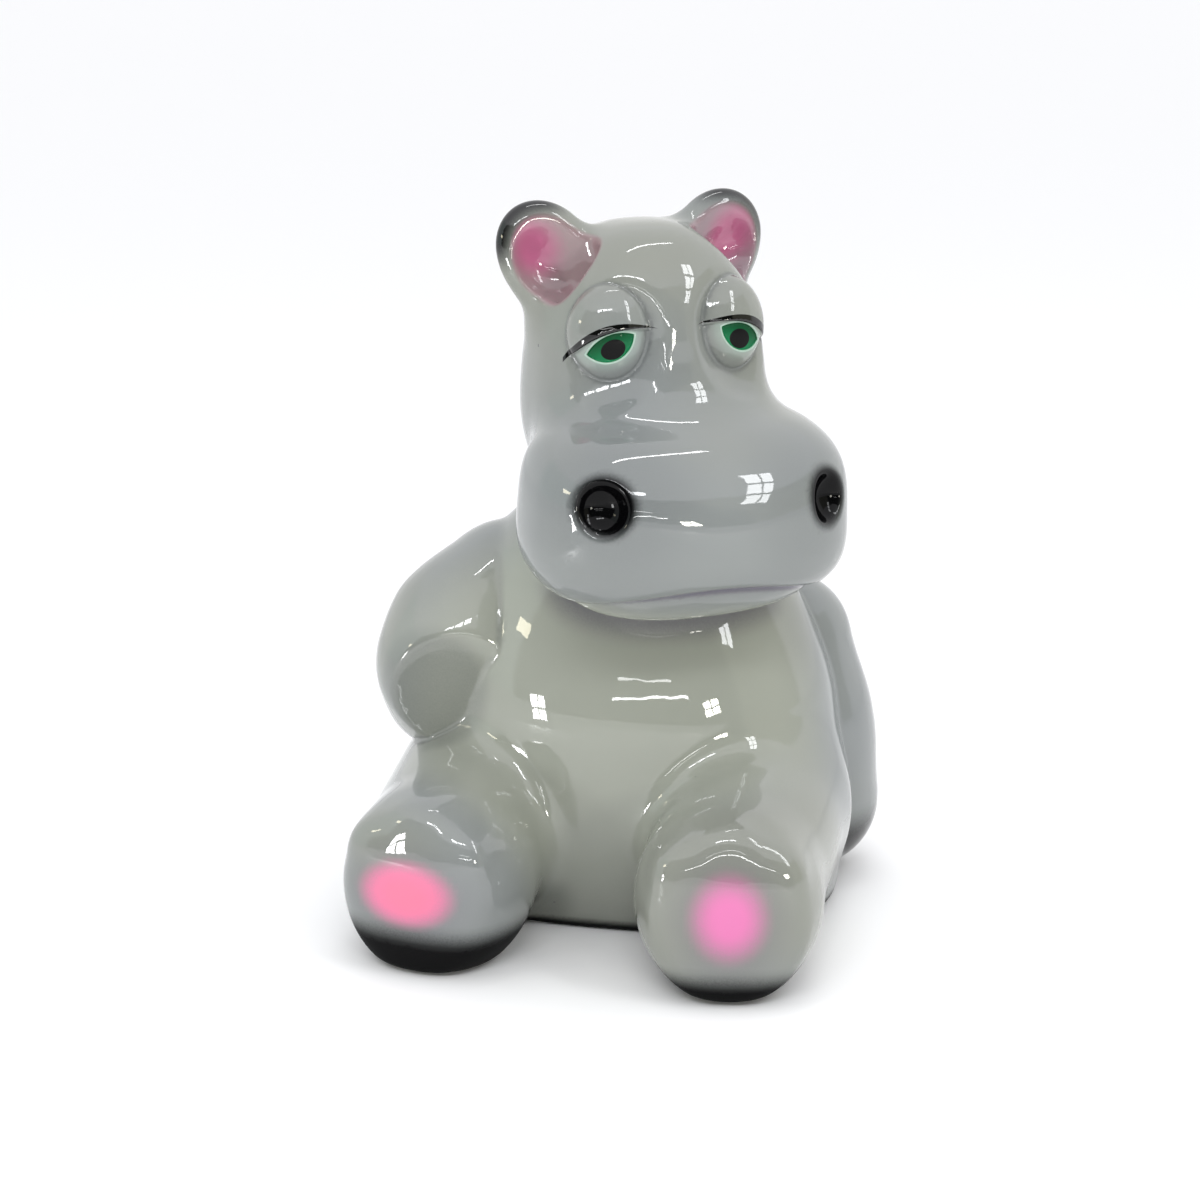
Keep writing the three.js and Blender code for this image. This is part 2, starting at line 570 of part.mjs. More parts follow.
// Joins neighbouring points of a closed mesh, the least noticeable pair first, until few enough
// triangles are left. Each point keeps the sum of the planes that it stands for, as ten numbers.
function simplify({ points, faces }, wanted) {
  const pointCount = points.length / 3;
  const planes = Array.from({ length: pointCount }, () => new Float64Array(10));
  const facesAround = Array.from({ length: pointCount }, () => new Set());
  const version = new Int32Array(pointCount);
  const alive = new Uint8Array(pointCount).fill(1);
  const pointAt = (index) => new THREE.Vector3().fromArray(points, index * 3);
  const cornersOf = (face) => faces.subarray(face * 3, face * 3 + 3);

  const addPlanes = () => {
    for (let face = 0; face < faces.length / 3; face += 1) {
      const [p, q, r] = Array.from(cornersOf(face), pointAt);
      const normal = q.clone().sub(p).cross(r.clone().sub(p));
      const area = normal.length() / 2;
      normal.normalize();
      const { x, y, z } = normal;
      const w = -normal.dot(p);
      const products = [x * x, x * y, x * z, x * w, y * y, y * z, y * w, z * z, z * w, w * w];
      const weight = area * careAt(p);
      for (const corner of cornersOf(face)) {
        facesAround[corner].add(face);
        products.forEach((product, place) => {
          planes[corner][place] += product * weight;
        });
      }
    }
  };

  const errorAt = (sum, { x, y, z }) => (
    sum[0] * x * x + 2 * sum[1] * x * y + 2 * sum[2] * x * z + 2 * sum[3] * x
    + sum[4] * y * y + 2 * sum[5] * y * z + 2 * sum[6] * y
    + sum[7] * z * z + 2 * sum[8] * z + sum[9]
  );

  // The place where the error is lowest, or the best of three places along the edge.
  const bestPlace = (sum, a, b) => {
    const start = pointAt(a);
    const end = pointAt(b);
    const middle = start.clone().add(end).multiplyScalar(0.5);
    const matrix = new THREE.Matrix3().set(
      sum[0], sum[1], sum[2],
      sum[1], sum[4], sum[5],
      sum[2], sum[5], sum[7],
    );
    const size = (sum[0] + sum[4] + sum[7]) / 3;
    if (Math.abs(matrix.determinant()) > FLATNESS * size ** 3) {
      const lowest = new THREE.Vector3(-sum[3], -sum[6], -sum[8]).applyMatrix3(matrix.invert());
      if (lowest.distanceTo(middle) < start.distanceTo(end)) return lowest;
    }
    const choices = [middle, start, end];
    return choices.reduce((best, place) => (errorAt(sum, place) < errorAt(sum, best) ? place : best));
  };

  const queue = new CostQueue();
  const offer = (a, b) => {
    const sum = planes[a].map((value, place) => value + planes[b][place]);
    const place = bestPlace(sum, a, b);
    const length = pointAt(a).distanceTo(pointAt(b));
    const cost = Math.max(errorAt(sum, place), 0) + LENGTH_COST * length * length;
    queue.push({ cost, a, b, place, versionA: version[a], versionB: version[b] });
  };

  const neighboursOf = (index) => {
    const found = new Set();
    for (const face of facesAround[index]) {
      for (const corner of cornersOf(face)) found.add(corner);
    }
    found.delete(index);
    return found;
  };

  // True when no triangle around a moved point turns over or becomes a sliver.
  const staysSound = (index, other, place) => {
    for (const face of facesAround[index]) {
      const corners = Array.from(cornersOf(face));
      if (!corners.includes(other)) {
        const before = corners.map(pointAt);
        const after = corners.map((corner, turn) => (corner === index ? place : before[turn]));
        const [oldNormal, newNormal] = [before, after].map(([p, q, r]) => (
          q.clone().sub(p).cross(r.clone().sub(p))
        ));
        const [p, q, r] = after;
        const longest = Math.max(p.distanceTo(q), q.distanceTo(r), r.distanceTo(p));
        const size = newNormal.length();
        if (size < THINNEST * longest * longest) return false;
        if (newNormal.dot(oldNormal) < LEAST_AGREEMENT * size * oldNormal.length()) return false;
      }
    }
    return true;
  };

  const merge = ({ a, b, place }) => {
    place.toArray(points, a * 3);
    planes[b].forEach((value, index) => {
      planes[a][index] += value;
    });
    for (const face of facesAround[b]) {
      const corners = cornersOf(face);
      if (corners.includes(a)) {
        for (const corner of corners) facesAround[corner].delete(face);
        corners.fill(-1);
      } else {
        corners[corners.indexOf(b)] = a;
        facesAround[a].add(face);
      }
    }
    alive[b] = 0;
    version[a] += 1;
    for (const neighbour of neighboursOf(a)) offer(a, neighbour);
  };

  addPlanes();
  for (let index = 0; index < pointCount; index += 1) {
    for (const neighbour of neighboursOf(index)) {
      if (index < neighbour) offer(index, neighbour);
    }
  }
  let left = faces.length / 3;
  while (left > wanted && queue.entries.length > 0) {
    const entry = queue.pop();
    const { a, b, place } = entry;
    const current = alive[a] && alive[b] && version[a] === entry.versionA && version[b] === entry.versionB;
    if (current) {
      const others = neighboursOf(b);
      const shared = [...neighboursOf(a)].filter((index) => others.has(index)).length;
      if (shared === 2 && staysSound(a, b, place) && staysSound(b, a, place)) {
        merge(entry);
        left -= 2;
      }
    }
  }
  return { points, faces: faces.filter((corner) => corner >= 0) };
}

// Numbers the points that are still in use and makes the underside exactly flat.
function toGeometry({ points, faces }) {
  const numbers = new Map();
  const positions = [];
  const indices = Array.from(faces, (corner) => {
    if (!numbers.has(corner)) {
      numbers.set(corner, positions.length / 3);
      const [x, y, z] = points.subarray(corner * 3, corner * 3 + 3);
      positions.push(x, y, Math.abs(z) < FLAT_TOLERANCE ? 0 : z);
    }
    return numbers.get(corner);
  });
  const geometry = new THREE.BufferGeometry();
  geometry.setAttribute('position', new THREE.Float32BufferAttribute(positions, 3));
  geometry.setIndex(indices);
  geometry.computeBoundingBox();
  const { min, max } = geometry.boundingBox;
  geometry.translate(-(min.x + max.x) / 2, -(min.y + max.y) / 2, 0);
  geometry.computeVertexNormals();
  return geometry;
}

const hippo = makeHippo();
const surface = surfaceOf(hippo);
for (let round = 0; round < SETTLE_ROUNDS; round += 1) settle(surface, hippo);
const glaze = new THREE.MeshStandardMaterial({ color: '#a9aeab', roughness: 0.25, metalness: 0 });
const figurine = new THREE.Mesh(toGeometry(simplify(surface, TRIANGLES)), glaze);
figurine.name = 'hippo_figurine';

const part = new THREE.Group();
part.add(figurine);

export default part;
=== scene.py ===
"""A seated hippo figurine in glazed, airbrushed ceramic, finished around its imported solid."""

import math

import bmesh
import bpy
import numpy as np
from bpy.props import FloatProperty, FloatVectorProperty, PointerProperty
from mathutils import Matrix, Vector


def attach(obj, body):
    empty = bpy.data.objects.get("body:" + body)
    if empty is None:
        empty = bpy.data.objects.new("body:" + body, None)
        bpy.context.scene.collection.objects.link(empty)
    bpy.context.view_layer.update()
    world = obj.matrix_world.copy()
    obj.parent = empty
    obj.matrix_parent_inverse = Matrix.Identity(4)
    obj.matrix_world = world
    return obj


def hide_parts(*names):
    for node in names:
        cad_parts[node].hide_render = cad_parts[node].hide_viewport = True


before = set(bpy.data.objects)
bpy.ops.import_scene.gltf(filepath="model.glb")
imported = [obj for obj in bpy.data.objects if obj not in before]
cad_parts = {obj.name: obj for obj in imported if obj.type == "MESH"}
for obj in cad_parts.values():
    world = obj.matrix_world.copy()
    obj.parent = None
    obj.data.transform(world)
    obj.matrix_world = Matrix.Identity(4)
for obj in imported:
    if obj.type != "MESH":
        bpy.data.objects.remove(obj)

bl_info = {
    "name": "Glazed Hippo Figurine",
    "version": (1, 0, 0),
    "blender": (4, 5, 0),
    "location": "3D View > Sidebar > Hippo",
    "description": "Makes a seated hippo figurine in glazed, airbrushed ceramic",
    "category": "Object",
}

SOLID = "hippo_figurine"
MM = 0.001

# The form is worked out in millimetres about a point on the floor between the feet; the figurine's own
# origin, in the middle of its outline seen from above, is at ORIGIN there. It faces -Y, its left is +X.
ORIGIN = (-1.667, 53.402, 0.0)

# The head has its own axes (side, back, up) from the middle of the skull. Turns are yaw, pitch and roll.
HEAD = {"centre": (7.8, 44.6, 205.6), "turn": (31.2, 1.7, -1.7), "blend": 1.5}
SKULL = {"centre": (1.9, 5.9, 5.7), "radii": (44.1, 39.1, 54.2), "power": 2.5, "taper": 0.0022}
NAPE = {"foot": (10, 52, -50), "top": (5, 20, -12), "radii": (34, 30), "blend": 22.0}
MUZZLE = {
    "centre": (3.0, -30.1, -37.5),
    "turn": (0, 8.7, 1.5),
    "radii": (60.3, 45.1, 33.5),
    "powers": (3.4, 2.3),
    "spread": 0.0012,
    "lean": 0.08,
}
# How softly the muzzle meets the skull: less to the sides, where a fold marks the cheeks.
MUZZLE_FILLET = {"middle": 24.0, "sides": 9.0, "narrowing": 0.3, "rounding": 12.0}
MOUTH = {"height": -60.8, "middle": -3.0, "droop": 0.0032, "blend": 4.0}
JAW = {"centre": (5, -27, -60), "radii": (48.5, 38.0, 18.5), "powers": (2.6, 2.2), "blend": 0.8}
NOSTRILS = {
    "places": ((-39.4, -63.0, -27.1), (45.1, -64.4, -32.0)),
    "radii": (9.6, 10.4, 10.2),
    "proud": 3.5,
    "inward": (0, 10, 4),
    "blend": 2.5,
}
EAR = {
    "place": (32.7, 10.9, 48.2),
    "turn": (2.5, -6.3, 38.4),
    "radii": (17.3, 8.4, 20.9),
    "stem_foot": (-6, 0, -22),
    "stem_top": (-2, 0, -6),
    "stem_radii": (12, 10),
    "stem_blend": 12.0,
    "blend": 8.0,
}
EAR_BOWL = {"place": (-1.6, -12.0, -1.5), "yaw": 10.5, "radii": (14.6, 9.0, 17.8), "blend": 3.0}
EAR_POCKET = {"place": (4.0, -7.5, -1.0), "yaw": 2.5, "radii": (9.2, 8.5, 12.5), "blend": 3.0}

# Each eye has axes of its own: outwards, back and up from the middle of the eyeball.
EYE = {
    "out": 22.6,
    "back": -20.6,
    "up": 24.0,
    "middle": 1.6,
    "yaw": 17,
    "pitch": -6,
    "tilt": 22,
    "corner_drop": 3.2,
    "radii": (13.8, 9.5, 16.5),
    "blend": 1.2,
}
EYE_SOCKET = {"centre": (1.0, -9.5, -1.0), "radii": (20, 9.5, 23), "blend": 5.0}
UPPER_LID = {"proud": 1.1, "arch": 4.0, "curve": 0.0185, "middle": 2.0, "blend": 0.8}
EYE_OPENING = {
    "half_width": 9.1, "top": 3.4, "bottom": 6.0, "inset": 0.2, "sunk": 0.9, "blend": 0.8, "seam": 0.3,
}

# The body.
BELLY = {"centre": (0.8, 74.0, 68.2), "radii": (78.1, 62.1, 64.2)}
SEAT = {"centre": (1.3, 78.5, 17.6), "radii": (80.1, 60.9, 54.1), "power": 2.6, "blend": 26.0}
CHEST = {"centre": (-4.7, 75.7, 112.7), "radii": (60.4, 43.8, 51.4), "blend": 36.0}
NECK = {"foot": (2, 80, 122), "top": (6, 62, 196), "radii": (42, 31), "blend": 20.0}
TAIL = {
    "places": ((4, 128, 52), (8, 143, 30), (15, 146, 18)), "radii": (9, 5, 5.5), "bend": 4.0, "blend": 5.0,
}
LEFT_LEG = {
    "sole": (53.7, -41.5, 30.1), "yaw": 8.0, "hip": (50.3, 57.2, 41.0), "radii": (33.0, 36.0),
    "foot": (29.4, 41.2, 32.7), "paint": (13, 15),
}
RIGHT_LEG = {
    "sole": (-63.7, -35.9, 28.0), "yaw": -12.4, "hip": (-57.2, 58.9, 39.5), "radii": (34.6, 35.5),
    "foot": (29.9, 30.3, 33.6), "paint": (17, 11),
}
LEG_BLEND = 11.0
FOOT = {"ankle": (0, 30, 2), "middle": (0, 20, 0), "blend": 12.0}
TOES = {"spread": (-46, 0, 46), "reach": 0.74, "back": 11, "radii": (10, 13, 9), "blend": 6.0}
SOLE = {"lean": 0.05, "dish": 0.004, "proud": 2.0, "blend": 5.0}
LEFT_ARM = {
    "places": ((54.2, 105.1, 94.5), (57.5, 102.7, 60.2), (65.0, 104.8, 29.3)),
    "radii": (27.0, 29.0, 28.7), "bend": 20.0, "blend": 2.0,
}
RIGHT_ARM = {
    "places": ((-50.0, 71.1, 119.8), (-63.0, 56.5, 103.0), (-67.5, 46.5, 92.0)),
    "radii": (26.3, 28.2, 28.2), "bend": 16.0, "blend": 2.0,
}
FOREARM = {
    "elbow": (-73.9, 53.0, 79.2), "wrist": (-58.0, 112.0, 84.0), "radii": (19.9, 17.0), "blend": 6.0,
}
ELBOW_FLAT = {"place": (-80, 24.5, 92), "facing": (0.194, -0.959, -0.207), "blend": 1.5}
RIGHT_PAW = {"centre": (-50, 120, 78), "radii": (17, 12, 20), "blend": 8.0}
FINGERS = {"start": (-44, 128, 74), "apart": 9, "curl": 1, "radii": (9, 6, 6), "blend": 3.0}
FLOOR_BLEND = 4.0

TINY = 1e-9

# Where the photograph was taken from, in metres and degrees; the lens is in millimetres.
VIEW = {
    "target": (0.001667, -0.053402, 0.135),
    "azimuth": 11.0,
    "elevation": 15.0,
    "distance": 0.85,
    "lens": 71.4,
    "sensor": 36.0,
}

# Studio lights, placed about the same target. Sides in their names are the viewer's. A lean turns the
# light about the line to its target, in degrees. Radiance is how bright it looks, whatever its size.
LIGHTS = (
    {"name": "window_right", "azimuth": 70, "elevation": 40, "distance": 1.3,
     "size": (0.16, 0.85), "lean": -27, "panes": (2, 3), "radiance": 10.5, "colour": "#fbfdff"},
    {"name": "window_top", "azimuth": 4, "elevation": 44, "distance": 1.3,
     "size": (0.7, 0.12), "lean": 10, "panes": (3, 1), "radiance": 18.0, "colour": "#fbfdff"},
    {"name": "window_left", "azimuth": -46, "elevation": -5, "distance": 0.62,
     "size": (0.09, 0.11), "lean": 10, "panes": (2, 2), "radiance": 30.0, "colour": "#ffffff"},
    {"name": "lamp_left", "azimuth": -60, "elevation": 19, "distance": 1.3,
     "size": (0.2, 0.1), "lean": 0, "panes": (1, 1), "radiance": 10.0, "colour": "#fff6d8"},
    {"name": "window_front", "azimuth": 43, "elevation": 5, "distance": 1.3,
     "size": (0.2, 0.15), "lean": 12, "panes": (2, 2), "radiance": 30.0, "colour": "#fffdf0"},
    {"name": "strip_low", "azimuth": 11.5, "elevation": 8.4, "distance": 1.3,
     "size": (0.9, 0.02), "lean": 5, "panes": (1, 1), "radiance": 22.0, "colour": "#ffffff"},
    {"name": "strip_high", "azimuth": 8.7, "elevation": 14.8, "distance": 1.3,
     "size": (0.62, 0.02), "lean": 2, "panes": (1, 1), "radiance": 9.0, "colour": "#ffffff"},
    {"name": "strip_above", "azimuth": 151, "elevation": 80, "distance": 1.2,
     "size": (0.6, 0.03), "lean": 74, "panes": (1, 1), "radiance": 18.0, "colour": "#ffffff"},
)
# Share of its room that a pane leaves to the bars of the window.
WINDOW_BARS = 0.16

# How the room changes along a direction of length one: where each wall begins and where it is full.
ROOM = {"sides": (-0.8, 0.8), "front": (-0.5, -0.56), "back": (0.2, 0.3), "ceiling": (0.56, 0.6)}
# The paper reaches so far each way, in metres, that its edge lies on the horizon.
PAPER_REACH = 200.0

# Patterns in the glaze and in the paper. A scale is in repeats along a metre, so that 14 gives patches
# some 70 mm wide, 1500 gives dots under a millimetre apart, and 120 gives waves some 8 mm long.
GREY_PATCHES = {"Scale": 14.0, "Detail": 2.0}
WARM_PATCHES = {"Scale": 9.0, "Detail": 1.0}
WARM_COVER = {"From Min": 0.45, "From Max": 0.62, "To Max": 0.55}
MIST_DOTS = {"Scale": 1500.0, "Detail": 1.0}
MIST_STRENGTH = {"To Min": -0.12, "To Max": 0.12}
PINHOLES = {"Scale": 30.0, "Randomness": 1.0}
PINHOLE_REACH = {"From Min": 0.022, "From Max": 0.010}
PINHOLE_DEPTH = 3.0
RIPPLES = {"Scale": 120.0, "Detail": 1.0}
RIPPLE_HEIGHT = 0.00004
WIPED_COAT = {"To Min": 1.0, "To Max": 0.15}
PAPER_FIBRES = {"Scale": 900.0, "Detail": 3.0}
FIBRE_CONTRAST = 1.01

# Brushwork on the eyes, in millimetres across the eye and above the line between its corners. Rim and
# iris are bare and full at distances from the opening of the eye, which are below 0 inside it.
LASH = {"arch": 5.3, "half_width": 1.45, "taper": 0.0038}
PUPIL = {"middle": (-0.2, -2.0, 0.0), "stretch": (1.0, 1.3, 0.0), "bare": 4.65, "full": 4.35}
RIM = {"bare": 0.75, "full": 0.4}
# The green darkens upwards from pale_up_to to dark_from: painted shade under the upper lid.
IRIS = {"bare": 0.08, "full": -0.12, "pale_up_to": -5.0, "dark_from": 3.0}
# Half the width over which an edge of the lash line goes from bare to full.
BRUSH_EDGE = 0.12
# How far back on the eye its paint goes.
EYE_FRONT = 1.5

# Airbrush work, painted shade and painted light among it: where each spray is full, where it ends, and the
# most that it covers if that isn't 1. The measures are millimetres, or shares of the ear, of the sole or
# of the spray's own radii, or for the creases the bend of the form.
SPRAYS = {
    "ear_inside": (0.8, 2.8),
    "ear_pink": (0.3, 1.2, 0.75),
    "ear_rim": (0.97, 0.62),
    "ear_rim_top": (0.75, 0.2),
    "nostril": (9.0, 13.5),
    "nostril_haze": (12.0, 44.0, 0.24),
    "nostril_wiped": (8.0, 13.0, 0.9),
    "sole": (0.35, 1.3),
    "sole_haze": (0.7, 2.1, 0.35),
    "sole_front": (6.0, 14.0),
    "right_side": (-20.0, 10.0),
    "right_foot": (12.0, 23.0),
    "left_foot": (6.0, 16.0),
    "foot_front": (-8.0, 30.0),
    "foot_inner": (20.0, 10.0),
    "hem": (2.0, 6.0),
    "paw": (18.0, 33.0),
    "paw_side": (80.0, 66.0),
    "paw_back": (84.0, 74.0),
    "mouth": (0.5, 2.6),
    "mouth_front": (-34.0, -20.0),
    # Painted shade in mauve on the chest under the jaw.
    "jaw_shade": (5.0, 16.0, 0.7),
    "off_jaw": (1.5, 0.5),
    "jaw_front": (50.0, 66.0),
    # Painted shade: darker grey where the form bends inwards into a crease.
    "crease": (-0.3, -0.05, 0.45),
    # Painted shade on the flat under the right elbow.
    "elbow": (0.75, 1.1, 0.35),
    # Painted light: a paler grey over the belly, chest and arms.
    "belly": (0.75, 1.15),
    # Pale paint on the lower lid, partly a painted highlight on its ridge.
    "lower_lid": (0.8, 4.5, 0.3),
    "under_upper_lid": (-0.5, 0.5),
    "eye_front": (1.0, 3.0),
    "eye_wiped": (-0.4, 0.4, 0.9),
}
# Where they lie: the deeper pink in an ear, in shares of the ear's size, with the pink that all of its
# inside has; how the black of a nostril is stretched; how far the pink is above the middle of a sole; and
# the middle and size of the two ovals on the body, one of painted shade on the elbow flat and one of
# painted light on the belly.
EAR_PINK = {"middle": (0.14, 0.26), "half_size": (0.6, 0.62), "least": 0.25}
NOSTRIL_STRETCH = (1.0, 1.15, 1.0)
SOLE_PINK_RAISED = 4.0
OVALS = {
    "elbow": {"centre": (-69.0, 26.0, 90.0), "radii": (22.0, 12.0, 25.0)},
    "belly": {"centre": (-4.0, 30.0, 84.0), "radii": (82.0, 64.0, 76.0)},
}


# Shapes: each gives the distance from points (one a row) to a surface, negative inside.

def smooth_min(a, b, blend):
    """The nearer of two surfaces, with a fillet of about that size where they meet."""
    overlap = np.maximum(blend - np.abs(a - b), 0.0) / blend
    return np.minimum(a, b) - overlap * overlap * blend * 0.25


def smooth_max(a, b, blend):
    """What two shapes share; with the second one negated, the first shape carved by it."""
    return -smooth_min(-a, -b, blend)


def axes_of(yaw=0.0, pitch=0.0, roll=0.0):
    """Side, back and up axes as columns; yaw turns the front towards the left side."""
    yaw, pitch, roll = (math.radians(angle) for angle in (yaw, pitch, roll))
    turn = Matrix.Rotation(yaw, 3, "Z") @ Matrix.Rotation(pitch, 3, "X") @ Matrix.Rotation(roll, 3, "Y")
    return np.array(turn)


def local(points, centre, turn=(0, 0, 0)):
    """Points in the axes of something that stands at a centre and is turned."""
    return (points - np.array(centre)) @ axes_of(*turn)


def offset_from(centre, offset, turn=(0, 0, 0)):
    """The place at an offset along turned axes from a centre."""
    return np.array(centre) + axes_of(*turn) @ np.array(offset, float)


def ellipsoid(points, radii):
    """Distance to an ellipsoid about the origin."""
    radii = np.array(radii, float)
    scale = np.linalg.norm(points / radii, axis=1)
    slope = np.linalg.norm(points / radii**2, axis=1)
    return scale * (scale - 1.0) / np.maximum(slope, TINY)


def pillow(points, radii, power, depth_power=None):
    """Distance to a rounded block; higher powers fill its corners, from the front and in depth."""
    depth_power = depth_power or power
    side, back, up = np.abs(points / np.array(radii, float)).T
    front = np.maximum(side**power + up**power, TINY)
    total = front ** (depth_power / power) + back**depth_power
    outer = total ** (1.0 / depth_power - 1.0)
    inner = outer * front ** (depth_power / power - 1.0)
    slope = np.sqrt(
        (inner * side ** (power - 1.0) / radii[0]) ** 2
        + (outer * back ** (depth_power - 1.0) / radii[1]) ** 2
        + (inner * up ** (power - 1.0) / radii[2]) ** 2
    )
    return (total ** (1.0 / depth_power) - 1.0) / np.maximum(slope, TINY)


def limb(points, start, end, start_radius, end_radius):
    """Distance to a limb between two places, with a radius at each end."""
    start = np.array(start, float)
    along = np.array(end, float) - start
    share = np.clip((points - start) @ along / (along @ along), 0.0, 1.0)
    gap = np.linalg.norm(points - start - share[:, None] * along, axis=1)
    return gap - (start_radius + (end_radius - start_radius) * share)


def bent_limb(points, places, radii, bend):
    """Two limbs in a row, joined with a smooth bend."""
    first = limb(points, places[0], places[1], radii[0], radii[1])
    second = limb(points, places[1], places[2], radii[1], radii[2])
    return smooth_min(first, second, bend)


def torso_distance(points):
    """Belly, seat and chest in one pear-shaped body."""
    belly = ellipsoid(local(points, BELLY["centre"]), BELLY["radii"])
    seat = pillow(local(points, SEAT["centre"]), SEAT["radii"], SEAT["power"])
    chest = ellipsoid(local(points, CHEST["centre"]), CHEST["radii"])
    return smooth_min(smooth_min(belly, seat, SEAT["blend"]), chest, CHEST["blend"])


def leg_distance(points, leg):
    """A leg stretched out on the floor, with three low toes and a nearly flat sole."""
    turn = (leg["yaw"], 0, 0)
    ankle = offset_from(leg["sole"], FOOT["ankle"], turn)
    distance = limb(points, ankle, leg["hip"], *leg["radii"])
    middle = offset_from(leg["sole"], FOOT["middle"], turn)
    distance = smooth_min(distance, ellipsoid(local(points, middle, turn), leg["foot"]), FOOT["blend"])
    for angle in TOES["spread"]:
        side = math.sin(math.radians(angle)) * leg["foot"][0] * TOES["reach"]
        up = math.cos(math.radians(angle)) * leg["foot"][2] * TOES["reach"]
        toe = offset_from(leg["sole"], (side, TOES["back"], up), turn)
        distance = smooth_min(distance, ellipsoid(local(points, toe, turn), TOES["radii"]), TOES["blend"])
    side, back, up = local(points, leg["sole"], turn).T
    before_sole = SOLE["lean"] * up + SOLE["dish"] * (side**2 + up**2) - SOLE["proud"] - back
    return smooth_max(distance, before_sole, SOLE["blend"])


def right_arm_distance(points):
    """The right elbow points forwards and the forearm goes back, with the paw on the hip."""
    upper = bent_limb(points, RIGHT_ARM["places"], RIGHT_ARM["radii"], RIGHT_ARM["bend"])
    forearm = limb(points, FOREARM["elbow"], FOREARM["wrist"], *FOREARM["radii"])
    arm = smooth_min(upper, forearm, FOREARM["blend"])
    flat = local(points, ELBOW_FLAT["place"]) @ np.array(ELBOW_FLAT["facing"])
    arm = smooth_max(arm, flat, ELBOW_FLAT["blend"])
    paw = ellipsoid(local(points, RIGHT_PAW["centre"]), RIGHT_PAW["radii"])
    arm = smooth_min(arm, paw, RIGHT_PAW["blend"])
    for finger in (-1, 0, 1):
        x, y, z = FINGERS["start"]
        place = (x, y - FINGERS["curl"] * abs(finger), z + FINGERS["apart"] * finger)
        arm = smooth_min(arm, ellipsoid(local(points, place), FINGERS["radii"]), FINGERS["blend"])
    return arm


def skull_distance(points):
    """The skull, which narrows upwards a little, with the nape behind it."""
    narrowed = points.copy()
    narrowed[:, 0] /= 1.0 - SKULL["taper"] * points[:, 2]
    skull = pillow(local(narrowed, SKULL["centre"]), SKULL["radii"], SKULL["power"])
    return smooth_min(skull, limb(points, NAPE["foot"], NAPE["top"], *NAPE["radii"]), NAPE["blend"])


def muzzle_distance(points):
    """The broad muzzle, which leans out a little downwards and stops at the drooping mouth line."""
    block = local(points, MUZZLE["centre"], MUZZLE["turn"])
    block[:, 0] /= 1.0 - MUZZLE["spread"] * block[:, 2]
    block[:, 1] -= MUZZLE["lean"] * block[:, 2]
    muzzle = pillow(block, MUZZLE["radii"], *MUZZLE["powers"])
    mouth = MOUTH["height"] - MOUTH["droop"] * (points[:, 0] - MOUTH["middle"]) ** 2
    return smooth_max(muzzle, mouth - points[:, 2], MOUTH["blend"])


def ear_place(side):
    """The middle of an ear; side is 1 for the figure's left."""
    out, back, up = EAR["place"]
    return np.array((side * out, back, up))


def ear_distance(points, side):
    """A thick disc on a short stem."""
    yaw, pitch, roll = EAR["turn"]
    centre = ear_place(side)
    disc = ellipsoid(local(points, centre, (side * yaw, pitch, side * roll)), EAR["radii"])
    ends = [centre + np.array(EAR[end]) * (side, 1, 1) for end in ("stem_foot", "stem_top")]
    return smooth_min(disc, limb(points, *ends, *EAR["stem_radii"]), EAR["stem_blend"])


def ear_hollow_distance(points, side, hollow):
    """A hollow in the front of an ear: the wide bowl, or the deeper pocket in its outer part."""
    turn = (side * hollow["yaw"], EAR["turn"][1], side * EAR["turn"][2])
    out, back, up = hollow["place"]
    place = offset_from(ear_place(side), (side * out, back, up), turn)
    return ellipsoid(local(points, place, turn), hollow["radii"])


def eye_axes(points, side):
    """Points in the axes of one eye: outwards, back, up."""
    centre = (EYE["middle"] + side * EYE["out"], EYE["back"], EYE["up"])
    return local(points, centre, (side * EYE["yaw"], EYE["pitch"], 0)) * (side, 1, 1)


def eye_plane(eye):
    """How far across the tilted eye and above the line between its corners points lie."""
    tilt = math.radians(EYE["tilt"])
    out, up = eye[:, 0], eye[:, 2] + EYE["corner_drop"]
    return out * math.cos(tilt) - up * math.sin(tilt), out * math.sin(tilt) + up * math.cos(tilt)


def arc_radius(half_width, height):
    """Radius of the arc that rises so high over a chord."""
    return (half_width**2 + height**2) / (2.0 * height)


def opening_distance(across, above):
    """The almond opening of the eye, from an upper and a lower arc through its corners."""
    distances = []
    for height, up in ((EYE_OPENING["top"], 1), (EYE_OPENING["bottom"], -1)):
        radius = arc_radius(EYE_OPENING["half_width"], height)
        distances.append(np.hypot(across, above * up + radius - height) - radius)
    return np.maximum(*distances)


def lid_height(across):
    """How high the edge of the upper lid lies above the line between the corners of the eye."""
    return UPPER_LID["arch"] - UPPER_LID["curve"] * (across - UPPER_LID["middle"]) ** 2


def with_eye(head, points, side):
    """Sets one eye into the head: a shallow socket, a full eyelid, and the eyeball in its opening."""
    eye = eye_axes(points, side)
    across, above = eye_plane(eye)
    radii = np.array(EYE["radii"])
    socket = ellipsoid(local(eye, EYE_SOCKET["centre"]), EYE_SOCKET["radii"])
    head = smooth_max(head, -socket, EYE_SOCKET["blend"])
    head = smooth_min(head, ellipsoid(eye, radii), EYE["blend"])
    upper_lid = ellipsoid(eye, radii + UPPER_LID["proud"])
    lid = smooth_max(upper_lid, lid_height(across) - above, UPPER_LID["blend"])
    head = smooth_min(head, lid, UPPER_LID["blend"])
    opening = np.maximum(opening_distance(across, above) + EYE_OPENING["inset"], eye[:, 1])
    head = smooth_max(head, -opening, EYE_OPENING["blend"])
    return smooth_min(head, ellipsoid(eye, radii - EYE_OPENING["sunk"]), EYE_OPENING["seam"])


